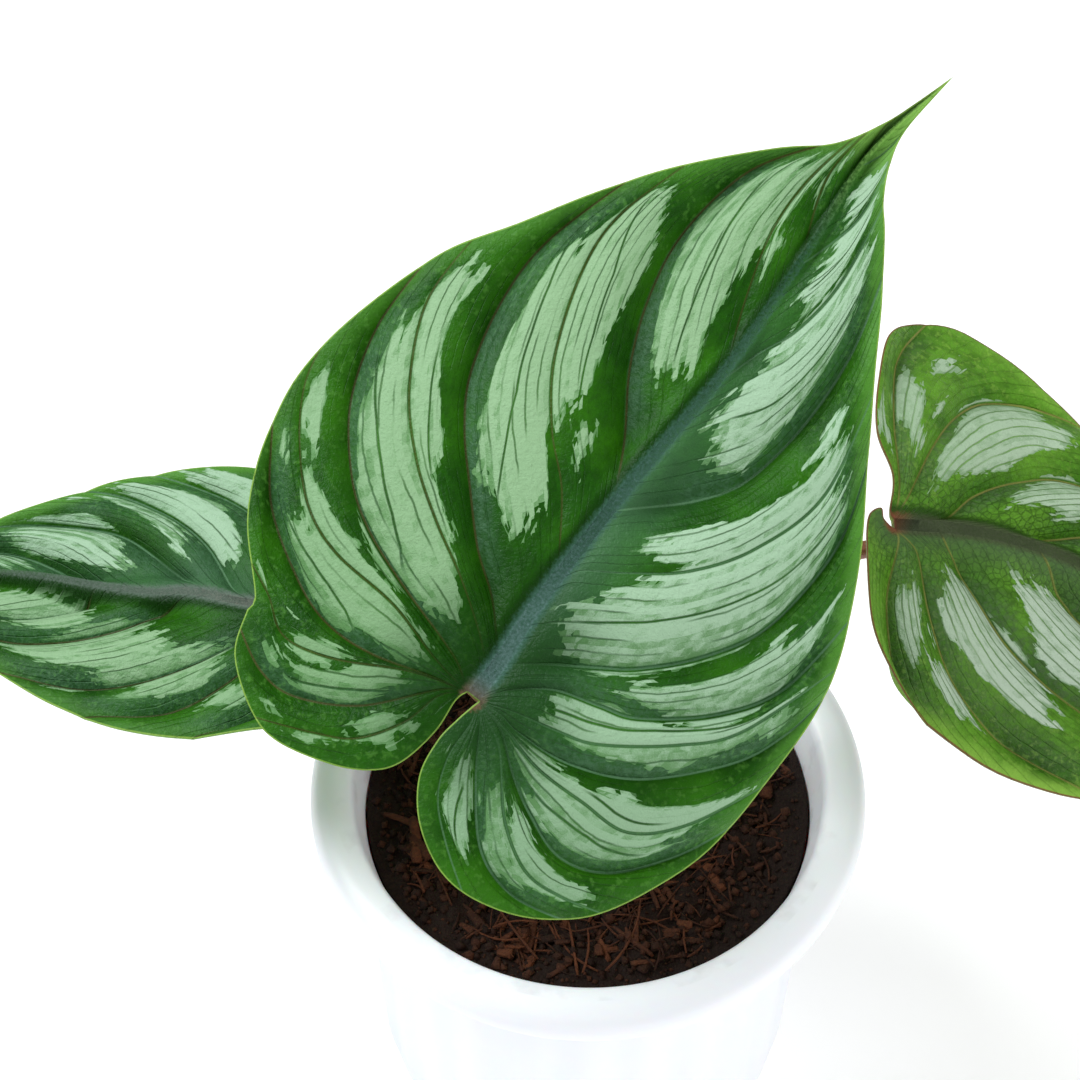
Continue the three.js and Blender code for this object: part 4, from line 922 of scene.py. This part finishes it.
    # silver and ribs are duller than the green, and veinlets lie in fine creases
    rough = addNode(tree, "ShaderNodeMapRange", None, [noise["bead"], 0.3, 0.7, 0.36, 0.5])[0]
    rough = addNode(tree, "ShaderNodeMath", {"operation": "MULTIPLY_ADD"}, [silver, 0.1, rough])[0]
    rough = addNode(tree, "ShaderNodeMath", {"operation": "MULTIPLY_ADD"}, [cover["rib"], 0.2, rough])[0]
    tree.links.new(rough, skin.inputs["Roughness"])
    relief = addNode(tree, "ShaderNodeMath", {"operation": "MULTIPLY_ADD"}, [veinlet, -0.8, noise["bead"]])[0]
    relief = addNode(tree, "ShaderNodeMath", {"operation": "MULTIPLY_ADD"}, [noise["fleck"], 1.4, relief])[0]
    relief = addNode(tree, "ShaderNodeMath", {"operation": "MULTIPLY_ADD"}, [noise["grain"], 0.4, relief])[0]
    bump = addNode(tree, "ShaderNodeBump", None, {"Strength": 1.0, "Distance": 0.2 * mm, "Height": relief})[0]
    tree.links.new(bump, skin.inputs["Normal"])
    return material


greenLeaf = leafMaterial("satinGreenLeaf", greenLook)
paleRibLeaf = leafMaterial("satinGreenLeafWithPaleRib", paleRibLook)
oliveLeaf = leafMaterial("satinOliveLeaf", oliveLook, 0.5)
# rows between two veins, and points across each half
buildBlade("mainLeafBlade", "leaf_main_blade", mainBlade, 12, 97, greenLeaf)
buildBlade("leftLeafBlade", "leaf_left_blade", leftBlade, 18, 97, paleRibLeaf)
buildBlade("rightLeafBlade", "leaf_right_blade", rightBlade, 18, 97, oliveLeaf)


# Stalks: a D-shaped section along a bent line, stout at the foot


stalkPaths = {
    "main": {"path": [[-1, -4, 84], [-4, -9, 104], [-9, -21, 135], [-17, -37, 164]], "radii": [3.6, 1.9]},
    "left": {"path": [[-4.5, 2.5, 84], [-13, 5, 97], [-28, 9, 116], [-42, 11, 128]], "radii": [3, 1.5]},
    "right": {"path": [[4, 2.5, 84], [13, 6, 100], [31, 12, 123], [48, 17, 142]], "radii": [3.2, 1.7]},
}
stalkShape = {
    "steps": 90,
    "sides": 28,
    "flat": 0.78,  # distance of the flat side from the centre, as a share of the radius
    "taper": 0.6,  # power of the thinning: below 1, the stalk is stout only near its foot
    "neck": 7,  # the last straight stretch, square to the blade
    "inset": 2.2,  # from the junction towards the tip, to the middle of the stalk's end
}


# A curve through points in space with even tension, whatever their spacing.
def spaceCurve(points, shares):
    points = np.array(points, float)
    points = np.vstack([2 * points[0] - points[1], points, 2 * points[-1] - points[-2]])
    out = []
    for i in range(1, len(points) - 2):
        p0, p1, p2, p3 = points[i - 1:i + 3]
        t1 = np.linalg.norm(p1 - p0) ** 0.5
        t2 = t1 + np.linalg.norm(p2 - p1) ** 0.5
        t3 = t2 + np.linalg.norm(p3 - p2) ** 0.5
        t = np.linspace(t1, t2, 40)[:, None]
        a1 = (t1 - t) / t1 * p0 + t / t1 * p1
        a2 = (t2 - t) / (t2 - t1) * p1 + (t - t1) / (t2 - t1) * p2
        a3 = (t3 - t) / (t3 - t2) * p2 + (t - t2) / (t3 - t2) * p3
        b1 = (t2 - t) / t2 * a1 + t / t2 * a2
        b2 = (t3 - t) / (t3 - t1) * a2 + (t - t1) / (t3 - t1) * a3
        out.append((t2 - t) / (t2 - t1) * b1 + (t - t1) / (t2 - t1) * b2)
    line = np.vstack(out)
    walked = np.concatenate([[0], np.cumsum(np.linalg.norm(np.diff(line, axis=0), axis=1))])
    return np.stack([np.interp(shares * walked[-1], walked, line[:, i]) for i in range(3)], axis=1)


# A closed tube round a line, with a section given as points about its centre and a scale for each station.
def sweptTube(line, section, scales):
    along = np.gradient(line, axis=0)
    along /= np.linalg.norm(along, axis=1, keepdims=True)
    across = np.cross(along, upward)
    across /= np.linalg.norm(across, axis=1, keepdims=True)
    lift = np.cross(across, along)
    sides = len(section)
    rings, faces = [], []
    for i in range(len(line)):
        ring = np.outer(section[:, 0], across[i]) + np.outer(section[:, 1], lift[i])
        rings.append(line[i] + scales[i] * ring)
    for i in range(0, (len(line) - 1) * sides, sides):
        for j in range(sides):
            beside = (j + 1) % sides
            faces.append([i + j, i + beside, i + sides + beside, i + sides + j])
    faces.append(list(range(sides))[::-1])
    faces.append([(len(line) - 1) * sides + j for j in range(sides)])
    return np.vstack(rings), faces


# Young living stalk: smooth green skin with a wine-red flush and fine pale flecks, satin.
def stalkMaterial():
    material, tree, skin = startMaterial("flushedStalkSkin", {"Roughness": 0.42, "IOR": 1.45})
    place = addNode(tree, "ShaderNodeTexCoord")["Object"]
    share = addNode(tree, "ShaderNodeAttribute", {"attribute_name": "share"})["Fac"]
    flush = addNode(tree, "ShaderNodeTexNoise", None,
                    {"Vector": place, "Scale": 1 / (7 * mm), "Detail": 3.0})[0]
    fleck = addNode(tree, "ShaderNodeTexNoise", None,
                    {"Vector": place, "Scale": 1 / (0.7 * mm), "Detail": 2.0})[0]
    red = addNode(tree, "ShaderNodeMath", {"operation": "MULTIPLY_ADD"}, [flush, 0.9, -0.25])[0]
    red = addNode(tree, "ShaderNodeMath", {"operation": "ADD", "use_clamp": True}, [red, share])[0]
    tone = addNode(tree, "ShaderNodeMix", {"data_type": "RGBA"},
                   {0: red, 6: linearColour("#6d7a3a"), 7: linearColour("#9a6150")})[2]
    speck = addNode(tree, "ShaderNodeMapRange", None, [fleck, 0.62, 0.7, 0.0, 0.45])[0]
    tone = addNode(tree, "ShaderNodeMix", {"data_type": "RGBA"},
                   {0: speck, 6: tone, 7: linearColour("#b9a37e")})[2]
    tree.links.new(tone, skin.inputs["Base Color"])
    bump = addNode(tree, "ShaderNodeBump", None, {"Strength": 0.3, "Distance": 0.1 * mm, "Height": fleck})[0]
    tree.links.new(bump, skin.inputs["Normal"])
    return material


stalkSkin = stalkMaterial()
for place, blade in {"main": mainBlade, "left": leftBlade, "right": rightBlade}.items():
    under = quilt["grooveDepth"] + quilt["ribDrop"] + blade["thickness"]
    neck = [[0, stalkShape["inset"], -under - rest * stalkShape["neck"]] for rest in (1, 0.5, 0)]
    neck = np.array(neck) @ bladeTurn(blade).T + np.array(blade["junction"])
    shares = np.linspace(0, 1, stalkShape["steps"])
    line = spaceCurve(stalkPaths[place]["path"] + neck.tolist(), shares)
    thick, thin = stalkPaths[place]["radii"]
    scales = thick + (thin - thick) * shares ** stalkShape["taper"]
    turns = np.linspace(0, 2 * math.pi, stalkShape["sides"], endpoint=False)
    section = np.column_stack([np.cos(turns), np.minimum(np.sin(turns), stalkShape["flat"])])
    points, faces = sweptTube(line, section, scales)
    stalk = makePiece(place + "LeafStalk", points, faces, stalkSkin)
    setAttribute(stalk, "share", np.repeat(shares, stalkShape["sides"]))
    standFor(stalk, "leaf_" + place + "_stalk")


# Turned bodies: a profile of (radius, height) is swept round the upright axis


# Each corner has its radius, its height and how far back from it the rounding starts.
def roundedProfile(corners, steps=5):
    out = []
    for i, (x, y, radius) in enumerate(corners):
        here = np.array([x, y])
        if radius == 0 or i in (0, len(corners) - 1):
            out.append(here)
            continue
        before = np.array(corners[i - 1][:2]) - here
        after = np.array(corners[i + 1][:2]) - here
        reach = min(radius, np.linalg.norm(before) * 0.48, np.linalg.norm(after) * 0.48)
        a = here + before / np.linalg.norm(before) * reach
        b = here + after / np.linalg.norm(after) * reach
        for t in np.linspace(0, 1, steps):
            out.append((1 - t) ** 2 * a + 2 * t * (1 - t) * here + t ** 2 * b)
    return np.array(out)


def turned(profile, segments):
    angles = np.linspace(0, 2 * math.pi, segments, endpoint=False)
    points, rings = [], []
    for radius, height in profile:
        if radius < 1e-6:
            rings.append([len(points)] * segments)
            points.append([0, 0, height])
        else:
            rings.append(list(range(len(points), len(points) + segments)))
            points += [[radius * math.cos(a), radius * math.sin(a), height] for a in angles]
    faces = []
    for low, high in zip(rings[:-1], rings[1:]):
        for j in range(segments):
            loop = list(dict.fromkeys([low[j], low[(j + 1) % segments], high[(j + 1) % segments], high[j]]))
            if len(loop) > 2:
                faces.append(loop)
    return np.array(points), faces


stem = {
    "radius": 6.2,
    "foot": 52,
    "top": 94,
    "scars": [78.5, 87.5],  # heights of the rings that fallen leaves left
    "scarSwell": 0.7,
}


# Young corky stem: green-brown bark, dull. Its ring scars, paler in life, are only swellings of the
# turned shape here.
def stemMaterial():
    material, tree, skin = startMaterial("corkyStemSkin", {"Roughness": 0.65, "IOR": 1.45})
    place = addNode(tree, "ShaderNodeTexCoord")["Object"]
    patch = addNode(tree, "ShaderNodeTexNoise", None,
                    {"Vector": place, "Scale": 1 / (3 * mm), "Detail": 4.0})[0]
    tone = addNode(tree, "ShaderNodeMix", {"data_type": "RGBA"},
                   {0: patch, 6: linearColour("#4a4a26"), 7: linearColour("#8a7a52")})[2]
    tree.links.new(tone, skin.inputs["Base Color"])
    bump = addNode(tree, "ShaderNodeBump", None, {"Strength": 0.6, "Distance": 0.3 * mm, "Height": patch})[0]
    tree.links.new(bump, skin.inputs["Normal"])
    return material


stemCorners = [
    (0, stem["foot"], 0),
    (stem["radius"] - 1, stem["foot"], 1),
    (stem["radius"], stem["foot"] + 2, 1),
]
for scar in stem["scars"]:
    stemCorners += [
        (stem["radius"], scar - 1.5, 0.8),
        (stem["radius"] + stem["scarSwell"], scar, 0.8),
        (stem["radius"], scar + 1.5, 0.8),
    ]
stemCorners += [
    (stem["radius"] - 0.8, stem["top"] - 2.5, 1),
    (stem["radius"] - 2.6, stem["top"] - 0.6, 1),
    (0, stem["top"], 0),
]
points, faces = turned(roundedProfile(stemCorners), 64)
stemPiece = makePiece("plantStem", points, faces, stemMaterial())
standFor(stemPiece, "stem")


# Potting mix: dark peat with bark chips and coir sticks


mix = {
    "level": 78.5, "edge": 46.7, "rings": 70, "segments": 220,
    "stemGap": 0.4,
    "foot": [(44.2, 6.5), (40.7, 2.4)],  # radius and height where it stands on the pot's floor
    "lump": 2.4, "lumpSize": 9, "lumpSeed": 2.5,
    "calmFrom": 38, "calm": 0.85,  # this share of the lumps is gone along the pot's wall
    "fibres": 330, "fibreLength": [7, 24], "fibreRadius": [0.14, 0.4], "fibreBend": 0.6,
    "chips": 190, "chipLength": [4, 15], "chipRadius": [0.5, 1.5], "chipBend": 0.1, "chipFlat": [0.3, 0.6],
    "stickTilt": 0.14, "stickInner": 9, "stickOuter": 11,  # bare ground round the stem and along the wall
    "crumbs": 2200, "crumbSize": [0.4, 1.9], "crumbInner": 8, "crumbOuter": 10,
    "seed": 20,
}


# Damp peat with bark and coir: nearly black, matt, with red-brown wood that catches the light.
def mixMaterial():
    material, tree, skin = startMaterial("dampBarkAndPeat", {"Roughness": 0.85, "IOR": 1.4})
    place = addNode(tree, "ShaderNodeTexCoord")["Object"]
    wood = addNode(tree, "ShaderNodeAttribute", {"attribute_name": "wood"})["Fac"]
    fine = addNode(tree, "ShaderNodeTexNoise", None,
                   {"Vector": place, "Scale": 1 / (0.8 * mm), "Detail": 5.0})[0]
    peat = addNode(tree, "ShaderNodeMix", {"data_type": "RGBA"},
                   {0: fine, 6: linearColour("#090503"), 7: linearColour("#2c170e")})[2]
    bark = addNode(tree, "ShaderNodeMix", {"data_type": "RGBA"},
                   {0: fine, 6: linearColour("#35180c"), 7: linearColour("#6e3d22")})[2]
    tone = addNode(tree, "ShaderNodeMix", {"data_type": "RGBA"}, {0: wood, 6: peat, 7: bark})[2]
    tree.links.new(tone, skin.inputs["Base Color"])
    bump = addNode(tree, "ShaderNodeBump", None, {"Strength": 0.9, "Distance": 0.8 * mm, "Height": fine})[0]
    tree.links.new(bump, skin.inputs["Normal"])
    return material


def softNoise(points, size, seed):
    return np.array([noiseField.fractal(Vector((x / size, y / size, seed)), 0.6, 2.1, 4) for x, y in points])


def mixHeight(plan):
    fromMiddle = np.hypot(*np.asarray(plan).T)
    lively = 1 - mix["calm"] * smoothStep(fromMiddle, mix["calmFrom"], mix["edge"])
    return mix["level"] + mix["lump"] * lively * softNoise(plan, mix["lumpSize"], mix["lumpSeed"])


# The mix's own body: a lumpy top, a side that narrows to the floor and a plain hole round the stem.
def mixBody():
    segments = mix["segments"]
    holeRadius = stem["radius"] + mix["stemGap"]
    angles = np.linspace(0, 2 * math.pi, segments, endpoint=False)
    radii = np.linspace(holeRadius, mix["edge"], mix["rings"])
    plan = np.array([[r * math.cos(a), r * math.sin(a)] for r in radii for a in angles])
    points = np.column_stack([plan, mixHeight(plan)]).tolist()
    for radius, height in mix["foot"] + [(holeRadius, mix["foot"][-1][1])]:
        points += [[radius * math.cos(a), radius * math.sin(a), height] for a in angles]
    loops = [list(range(i, i + segments)) for i in range(0, len(points), segments)]
    faces = []
    for inner, outer in zip(loops, loops[1:] + loops[:1]):
        for j in range(segments):
            faces.append([inner[j], outer[j], outer[(j + 1) % segments], inner[(j + 1) % segments]])
    return points, faces


# A coir fibre or a bark chip: a knotty tube that lies in the surface, slightly bent and tilted.
def woodStick(chance, kind):
    length = chance.uniform(*mix[kind + "Length"]) * chance.uniform(0.5, 1)
    radius = chance.uniform(*mix[kind + "Radius"])
    flat = 1 if kind == "fibre" else chance.uniform(*mix["chipFlat"])
    angle = chance.uniform(0, 2 * math.pi)
    spread = mix["edge"] - length / 2 - mix["stickOuter"]
    distance = mix["stickInner"] + spread * math.sqrt(chance.random())
    x, y = distance * math.cos(angle), distance * math.sin(angle)
    turn = chance.uniform(0, math.pi)
    tilt = chance.uniform(-mix["stickTilt"], mix["stickTilt"])
    bend = chance.uniform(-mix[kind + "Bend"], mix[kind + "Bend"]) * length
    t = np.linspace(-0.5, 0.5, 7)
    side = np.array([-math.sin(turn), math.cos(turn), 0])
    along = np.array([math.cos(turn), math.sin(turn), tilt])
    centre = np.array([x, y, mixHeight([(x, y)])[0] + chance.uniform(0.1, 0.8)])
    line = centre + np.outer(t * length, along) + np.outer((0.25 - t ** 2) * bend, side)
    section = np.array([[math.cos(a), flat * math.sin(a)] for a in np.linspace(0, 2 * math.pi, 7)[:-1]])
    knots = np.array([0.7, 1, 0.95, 1.05, 0.9, 1, 0.6])
    return sweptTube(line, section, radius * (1 - 0.35 * (t + 0.5)) * knots)


# A crumb of peat: eight small faces, uneven and turned at random, slightly sunk.
def peatCrumb(chance):
    size = chance.uniform(*mix["crumbSize"]) * chance.uniform(0.4, 1)
    angle = chance.uniform(0, 2 * math.pi)
    distance = mix["crumbInner"] + (mix["edge"] - mix["crumbOuter"]) * math.sqrt(chance.random())
    x, y = distance * math.cos(angle), distance * math.sin(angle)
    centre = np.array([x, y, mixHeight([(x, y)])[0] + size * 0.2])
    corners = np.array([[1, 0, 0], [0, 1, 0], [-1, 0, 0], [0, -1, 0], [0, 0, 1], [0, 0, -1]], float)
    corners *= [[chance.uniform(0.6, 1.2)] for _ in range(6)]
    turn = rotation("z", chance.uniform(0, 90)) @ rotation("x", chance.uniform(-40, 40))
    faces = []
    for a, b in ((0, 1), (1, 2), (2, 3), (3, 0)):
        faces += [[a, b, 4], [b, a, 5]]
    return corners @ turn.T * size + centre, faces


def buildMix():
    chance = random.Random(mix["seed"])
    points, faces = mixBody()
    wood = [0.0] * len(points)
    for kind in ["fibre"] * mix["fibres"] + ["chip"] * mix["chips"]:
        stick, stickFaces = woodStick(chance, kind)
        if np.hypot(stick[:, 0], stick[:, 1]).max() <= mix["edge"]:
            addPart(points, faces, stick, stickFaces)
            wood += [chance.uniform(0.1, 1)] * len(stick)
    for _ in range(mix["crumbs"]):
        addPart(points, faces, *peatCrumb(chance))
        wood += [chance.uniform(0, 0.5)] * 6
    piece = makePiece("barkAndCoirMix", points, faces, mixMaterial())
    setAttribute(piece, "wood", wood)
    standFor(piece, "potting_mix")


buildMix()


# Pot: a thin moulded body with shallow flutes, a rolled rim with an open channel below, and a holed floor


pot = {
    "height": 89, "rimRadius": 58.6, "rimDepth": 11, "lipRadius": 49.3, "bodyTopRadius": 48.6,
    "baseRadius": 45.2, "wall": 1.5, "floor": 2,
    "flutes": 24, "fluteDepth": 0.45,
    "holes": 8, "holeRadius": 3.5, "holeRing": 34,
    "segments": 288, "profileStep": 4,
    "soilHeights": [7, 1],  # above the mix, the inner wall is clean from the first, smudged at the second
    "lipSoil": 0.35,
}


# Injection-moulded polypropylene: smooth white with a cool cast, slightly translucent, with faint handling
# smudges near the mix.
def potMaterial():
    finish = {"Roughness": 0.38, "IOR": 1.49, "Subsurface Weight": 0.15, "Subsurface Scale": 2 * mm}
    material, tree, skin = startMaterial("mouldedWhitePolypropylene", finish)
    place = addNode(tree, "ShaderNodeTexCoord")["Object"]
    soil = addNode(tree, "ShaderNodeAttribute", {"attribute_name": "soil"})["Fac"]
    cloud = addNode(tree, "ShaderNodeTexNoise", None,
                    {"Vector": place, "Scale": 1 / (30 * mm), "Detail": 3.0})[0]
    smudge = addNode(tree, "ShaderNodeTexNoise", None,
                     {"Vector": place, "Scale": 1 / (6 * mm), "Detail": 5.0})[0]
    tone = addNode(tree, "ShaderNodeMix", {"data_type": "RGBA"},
                   {0: cloud, 6: linearColour("#eff3fc"), 7: linearColour("#f7f9ff")})[2]
    dirt = addNode(tree, "ShaderNodeMapRange", None, [smudge, 0.52, 0.85, 0.0, 0.6])[0]
    dirt = addNode(tree, "ShaderNodeMath", {"operation": "MULTIPLY"}, [dirt, soil])[0]
    tone = addNode(tree, "ShaderNodeMix", {"data_type": "RGBA"},
                   {0: dirt, 6: tone, 7: linearColour("#6b4a30")})[2]
    tree.links.new(tone, skin.inputs["Base Color"])
    bump = addNode(tree, "ShaderNodeBump", None, {
        "Strength": 0.15, "Distance": 0.2 * mm, "Height": smudge})[0]
    tree.links.new(bump, skin.inputs["Normal"])
    return material


# Up the outside, round the rolled rim and down the inside.
def potProfile(rimFoot, skirt):
    inner = pot["baseRadius"] - pot["wall"]
    profile = roundedProfile([
        (0, 0, 0),
        (pot["baseRadius"] - 3, 0, 0.5),
        (pot["baseRadius"], 1.4, 1.2),
        (pot["bodyTopRadius"], rimFoot, 0),
        (pot["bodyTopRadius"] + 0.5, rimFoot + 6, 1),
        (pot["lipRadius"] + 1.6, rimFoot + 7.8, 1),
        (skirt - 2.6, rimFoot + 7.8, 1),
        (skirt - 1.5, rimFoot + 6, 1),
        (skirt - 1.5, rimFoot, 0.5),
        (skirt, rimFoot, 0.5),
        (pot["rimRadius"] - 0.5, rimFoot + 3, 1),
        (pot["rimRadius"], rimFoot + 6.5, 2),
        (pot["rimRadius"] - 1.2, rimFoot + 9.2, 2),
        (pot["rimRadius"] - 3.8, pot["height"] - 0.2, 2),
        (pot["lipRadius"] + 3, pot["height"], 1),
        (pot["lipRadius"] + 0.8, pot["height"] - 0.6, 1),
        (pot["lipRadius"], pot["height"] - 2, 1),
        (pot["bodyTopRadius"] - pot["wall"], rimFoot, 0),
        (inner - 0.2, pot["floor"] + 1.2, 1),
        (inner - 1.4, pot["floor"], 0.5),
        (0, pot["floor"], 0),
    ])
    finer = [profile[0]]
    for before, after in zip(profile[:-1], profile[1:]):
        pieces = max(1, int(np.hypot(*(after - before)) / pot["profileStep"]))
        finer += [before + (after - before) * (i + 1) / pieces for i in range(pieces)]
    return np.array(finer)


def drillHoles(piece):
    points, faces = [], []
    rod = np.array([(0, -4), (pot["holeRadius"], -4), (pot["holeRadius"], 6), (0, 6)])
    for i in range(pot["holes"]):
        angle = (i + 0.5) / pot["holes"] * 2 * math.pi
        rodPoints, rodFaces = turned(rod, 32)
        rodPoints += [pot["holeRing"] * math.cos(angle), pot["holeRing"] * math.sin(angle), 0]
        addPart(points, faces, rodPoints, rodFaces)
    drill = makePiece("drainHoleDrill", points, faces, piece.data.materials[0])
    cut = piece.modifiers.new("drainHoles", "BOOLEAN")
    cut.operation = "DIFFERENCE"
    cut.solver = "EXACT"
    cut.object = drill
    graph = bpy.context.evaluated_depsgraph_get()
    holed = bpy.data.meshes.new_from_object(piece.evaluated_get(graph))
    piece.modifiers.clear()
    piece.data = holed
    bpy.data.objects.remove(drill)


# How much soil clings to each point: on the inner wall just above the mix, and a little on the lip.
def potSoil(mesh):
    places = np.array([v.co for v in mesh.vertices]) / mm
    facing = np.array([v.normal for v in mesh.vertices])
    radius, height = np.hypot(places[:, 0], places[:, 1]), places[:, 2]
    inward = (facing[:, :2] * places[:, :2]).sum(1) < 0
    clean, soiled = [mix["level"] + above for above in pot["soilHeights"]]
    wall = smoothStep(height, clean, soiled) * inward * (radius < pot["lipRadius"] + 1)
    lip = pot["lipSoil"] * (height > pot["height"] - 3) * (radius < pot["lipRadius"] + 4)
    return np.maximum(wall, lip)


def buildPot():
    rimFoot = pot["height"] - pot["rimDepth"]
    skirt = pot["rimRadius"] - 2.2
    points, faces = turned(potProfile(rimFoot, skirt), pot["segments"])
    radius = np.hypot(points[:, 0], points[:, 1])
    outside = pot["baseRadius"] + (pot["bodyTopRadius"] - pot["baseRadius"]) * points[:, 2] / rimFoot
    onBody = (radius > outside - pot["wall"] / 2) & (points[:, 2] < rimFoot + 0.1) & (radius < skirt - 3)
    push = pot["fluteDepth"] * np.cos(pot["flutes"] * np.arctan2(points[:, 1], points[:, 0]))
    push *= smoothStep(points[:, 2], 0.5, 5) * onBody
    points[:, :2] *= (1 + push / np.maximum(radius, 1))[:, None]
    piece = makePiece("nurseryPot", points, faces, potMaterial())
    drillHoles(piece)
    setAttribute(piece, "soil", potSoil(piece.data))
    piece.data.set_sharp_from_angle(angle=math.radians(40))
    standFor(piece, "pot")


buildPot()


# Room: a pale floor, an even white surround, a large soft light from the upper left and a weak fill


# Metres, watts and degrees, but for the floor.
room = {
    "floorHalfWidth": 3000,  # millimetres
    "floorGlow": 0.22,
    "surround": 0.5,
    "middle": [0, 0, 0.15],  # what the lamps face
    "lights": {
        "upperLeftSoftbox": {"direction": [-0.61, 0.17, 0.77], "distance": 1.2, "size": 0.85, "power": 13,
                             "colour": [0.97, 0.99, 1.0], "shines": True},
        "rightFill": {"direction": [0.75, -0.35, 0.6], "distance": 1.6, "size": 1.4, "power": 12,
                      "colour": [1, 0.99, 0.99], "shines": False},
    },
    "cameraPlace": [-0.0101, -0.3944, 0.6750],
    "cameraTurn": [38, 0, 0],
    "lens": 112,
}


# Cast acrylic sheet lit from below: an even matt white with a faint cloudiness and no shine.
def floorMaterial():
    finish = {"Roughness": 0.9, "Specular IOR Level": 0.0, "Emission Color": (1, 1, 1, 1)}
    finish["Emission Strength"] = room["floorGlow"]
    material, tree, skin = startMaterial("litWhiteAcrylic", finish)
    place = addNode(tree, "ShaderNodeTexCoord")["Object"]
    faint = addNode(tree, "ShaderNodeTexNoise", None, {"Vector": place, "Scale": 4.0, "Detail": 2.0})[0]
    tone = addNode(tree, "ShaderNodeMix", {"data_type": "RGBA"},
                   {0: faint, 6: linearColour("#f4f4f4"), 7: linearColour("#fafafa")})[2]
    tree.links.new(tone, skin.inputs["Base Color"])
    return material


def buildRoom():
    far = room["floorHalfWidth"]
    corners = [[-far, -far, 0], [far, -far, 0], [far, far, 0], [-far, far, 0]]
    floor = makePiece("paleFloor", corners, [[0, 1, 2, 3]], floorMaterial())

    world = bpy.data.worlds.new("softWhiteSurround")
    bpy.context.scene.world = world
    world.use_nodes = True
    world.node_tree.nodes["Background"].inputs["Color"].default_value = (1, 1, 1, 1)
    world.node_tree.nodes["Background"].inputs["Strength"].default_value = room["surround"]
    world.cycles_visibility.glossy = False

    for name, light in room["lights"].items():
        data = bpy.data.lights.new(name, "AREA")
        data.shape = "DISK"
        data.size = light["size"]
        data.energy = light["power"]
        data.color = light["colour"]
        lamp = bpy.data.objects.new(name, data)
        lamp.visible_glossy = light["shines"]
        direction = np.array(light["direction"], float)
        direction /= np.linalg.norm(direction)
        lamp.location = np.array(room["middle"]) + direction * light["distance"]
        lamp.rotation_euler = Vector(direction).to_track_quat("Z", "Y").to_euler()
        bpy.context.scene.collection.objects.link(lamp)

    cameraData = bpy.data.cameras.new("photoCamera")
    cameraData.lens = room["lens"]
    cameraData.sensor_width = 36
    camera = bpy.data.objects.new("photoCamera", cameraData)
    camera.location = room["cameraPlace"]
    camera.rotation_euler = [math.radians(angle) for angle in room["cameraTurn"]]
    bpy.context.scene.collection.objects.link(camera)
    bpy.context.scene.camera = camera
    bpy.context.scene.view_settings.view_transform = "Standard"
    print("room lit by", len(room["lights"]), "lamps, camera set")


buildRoom()
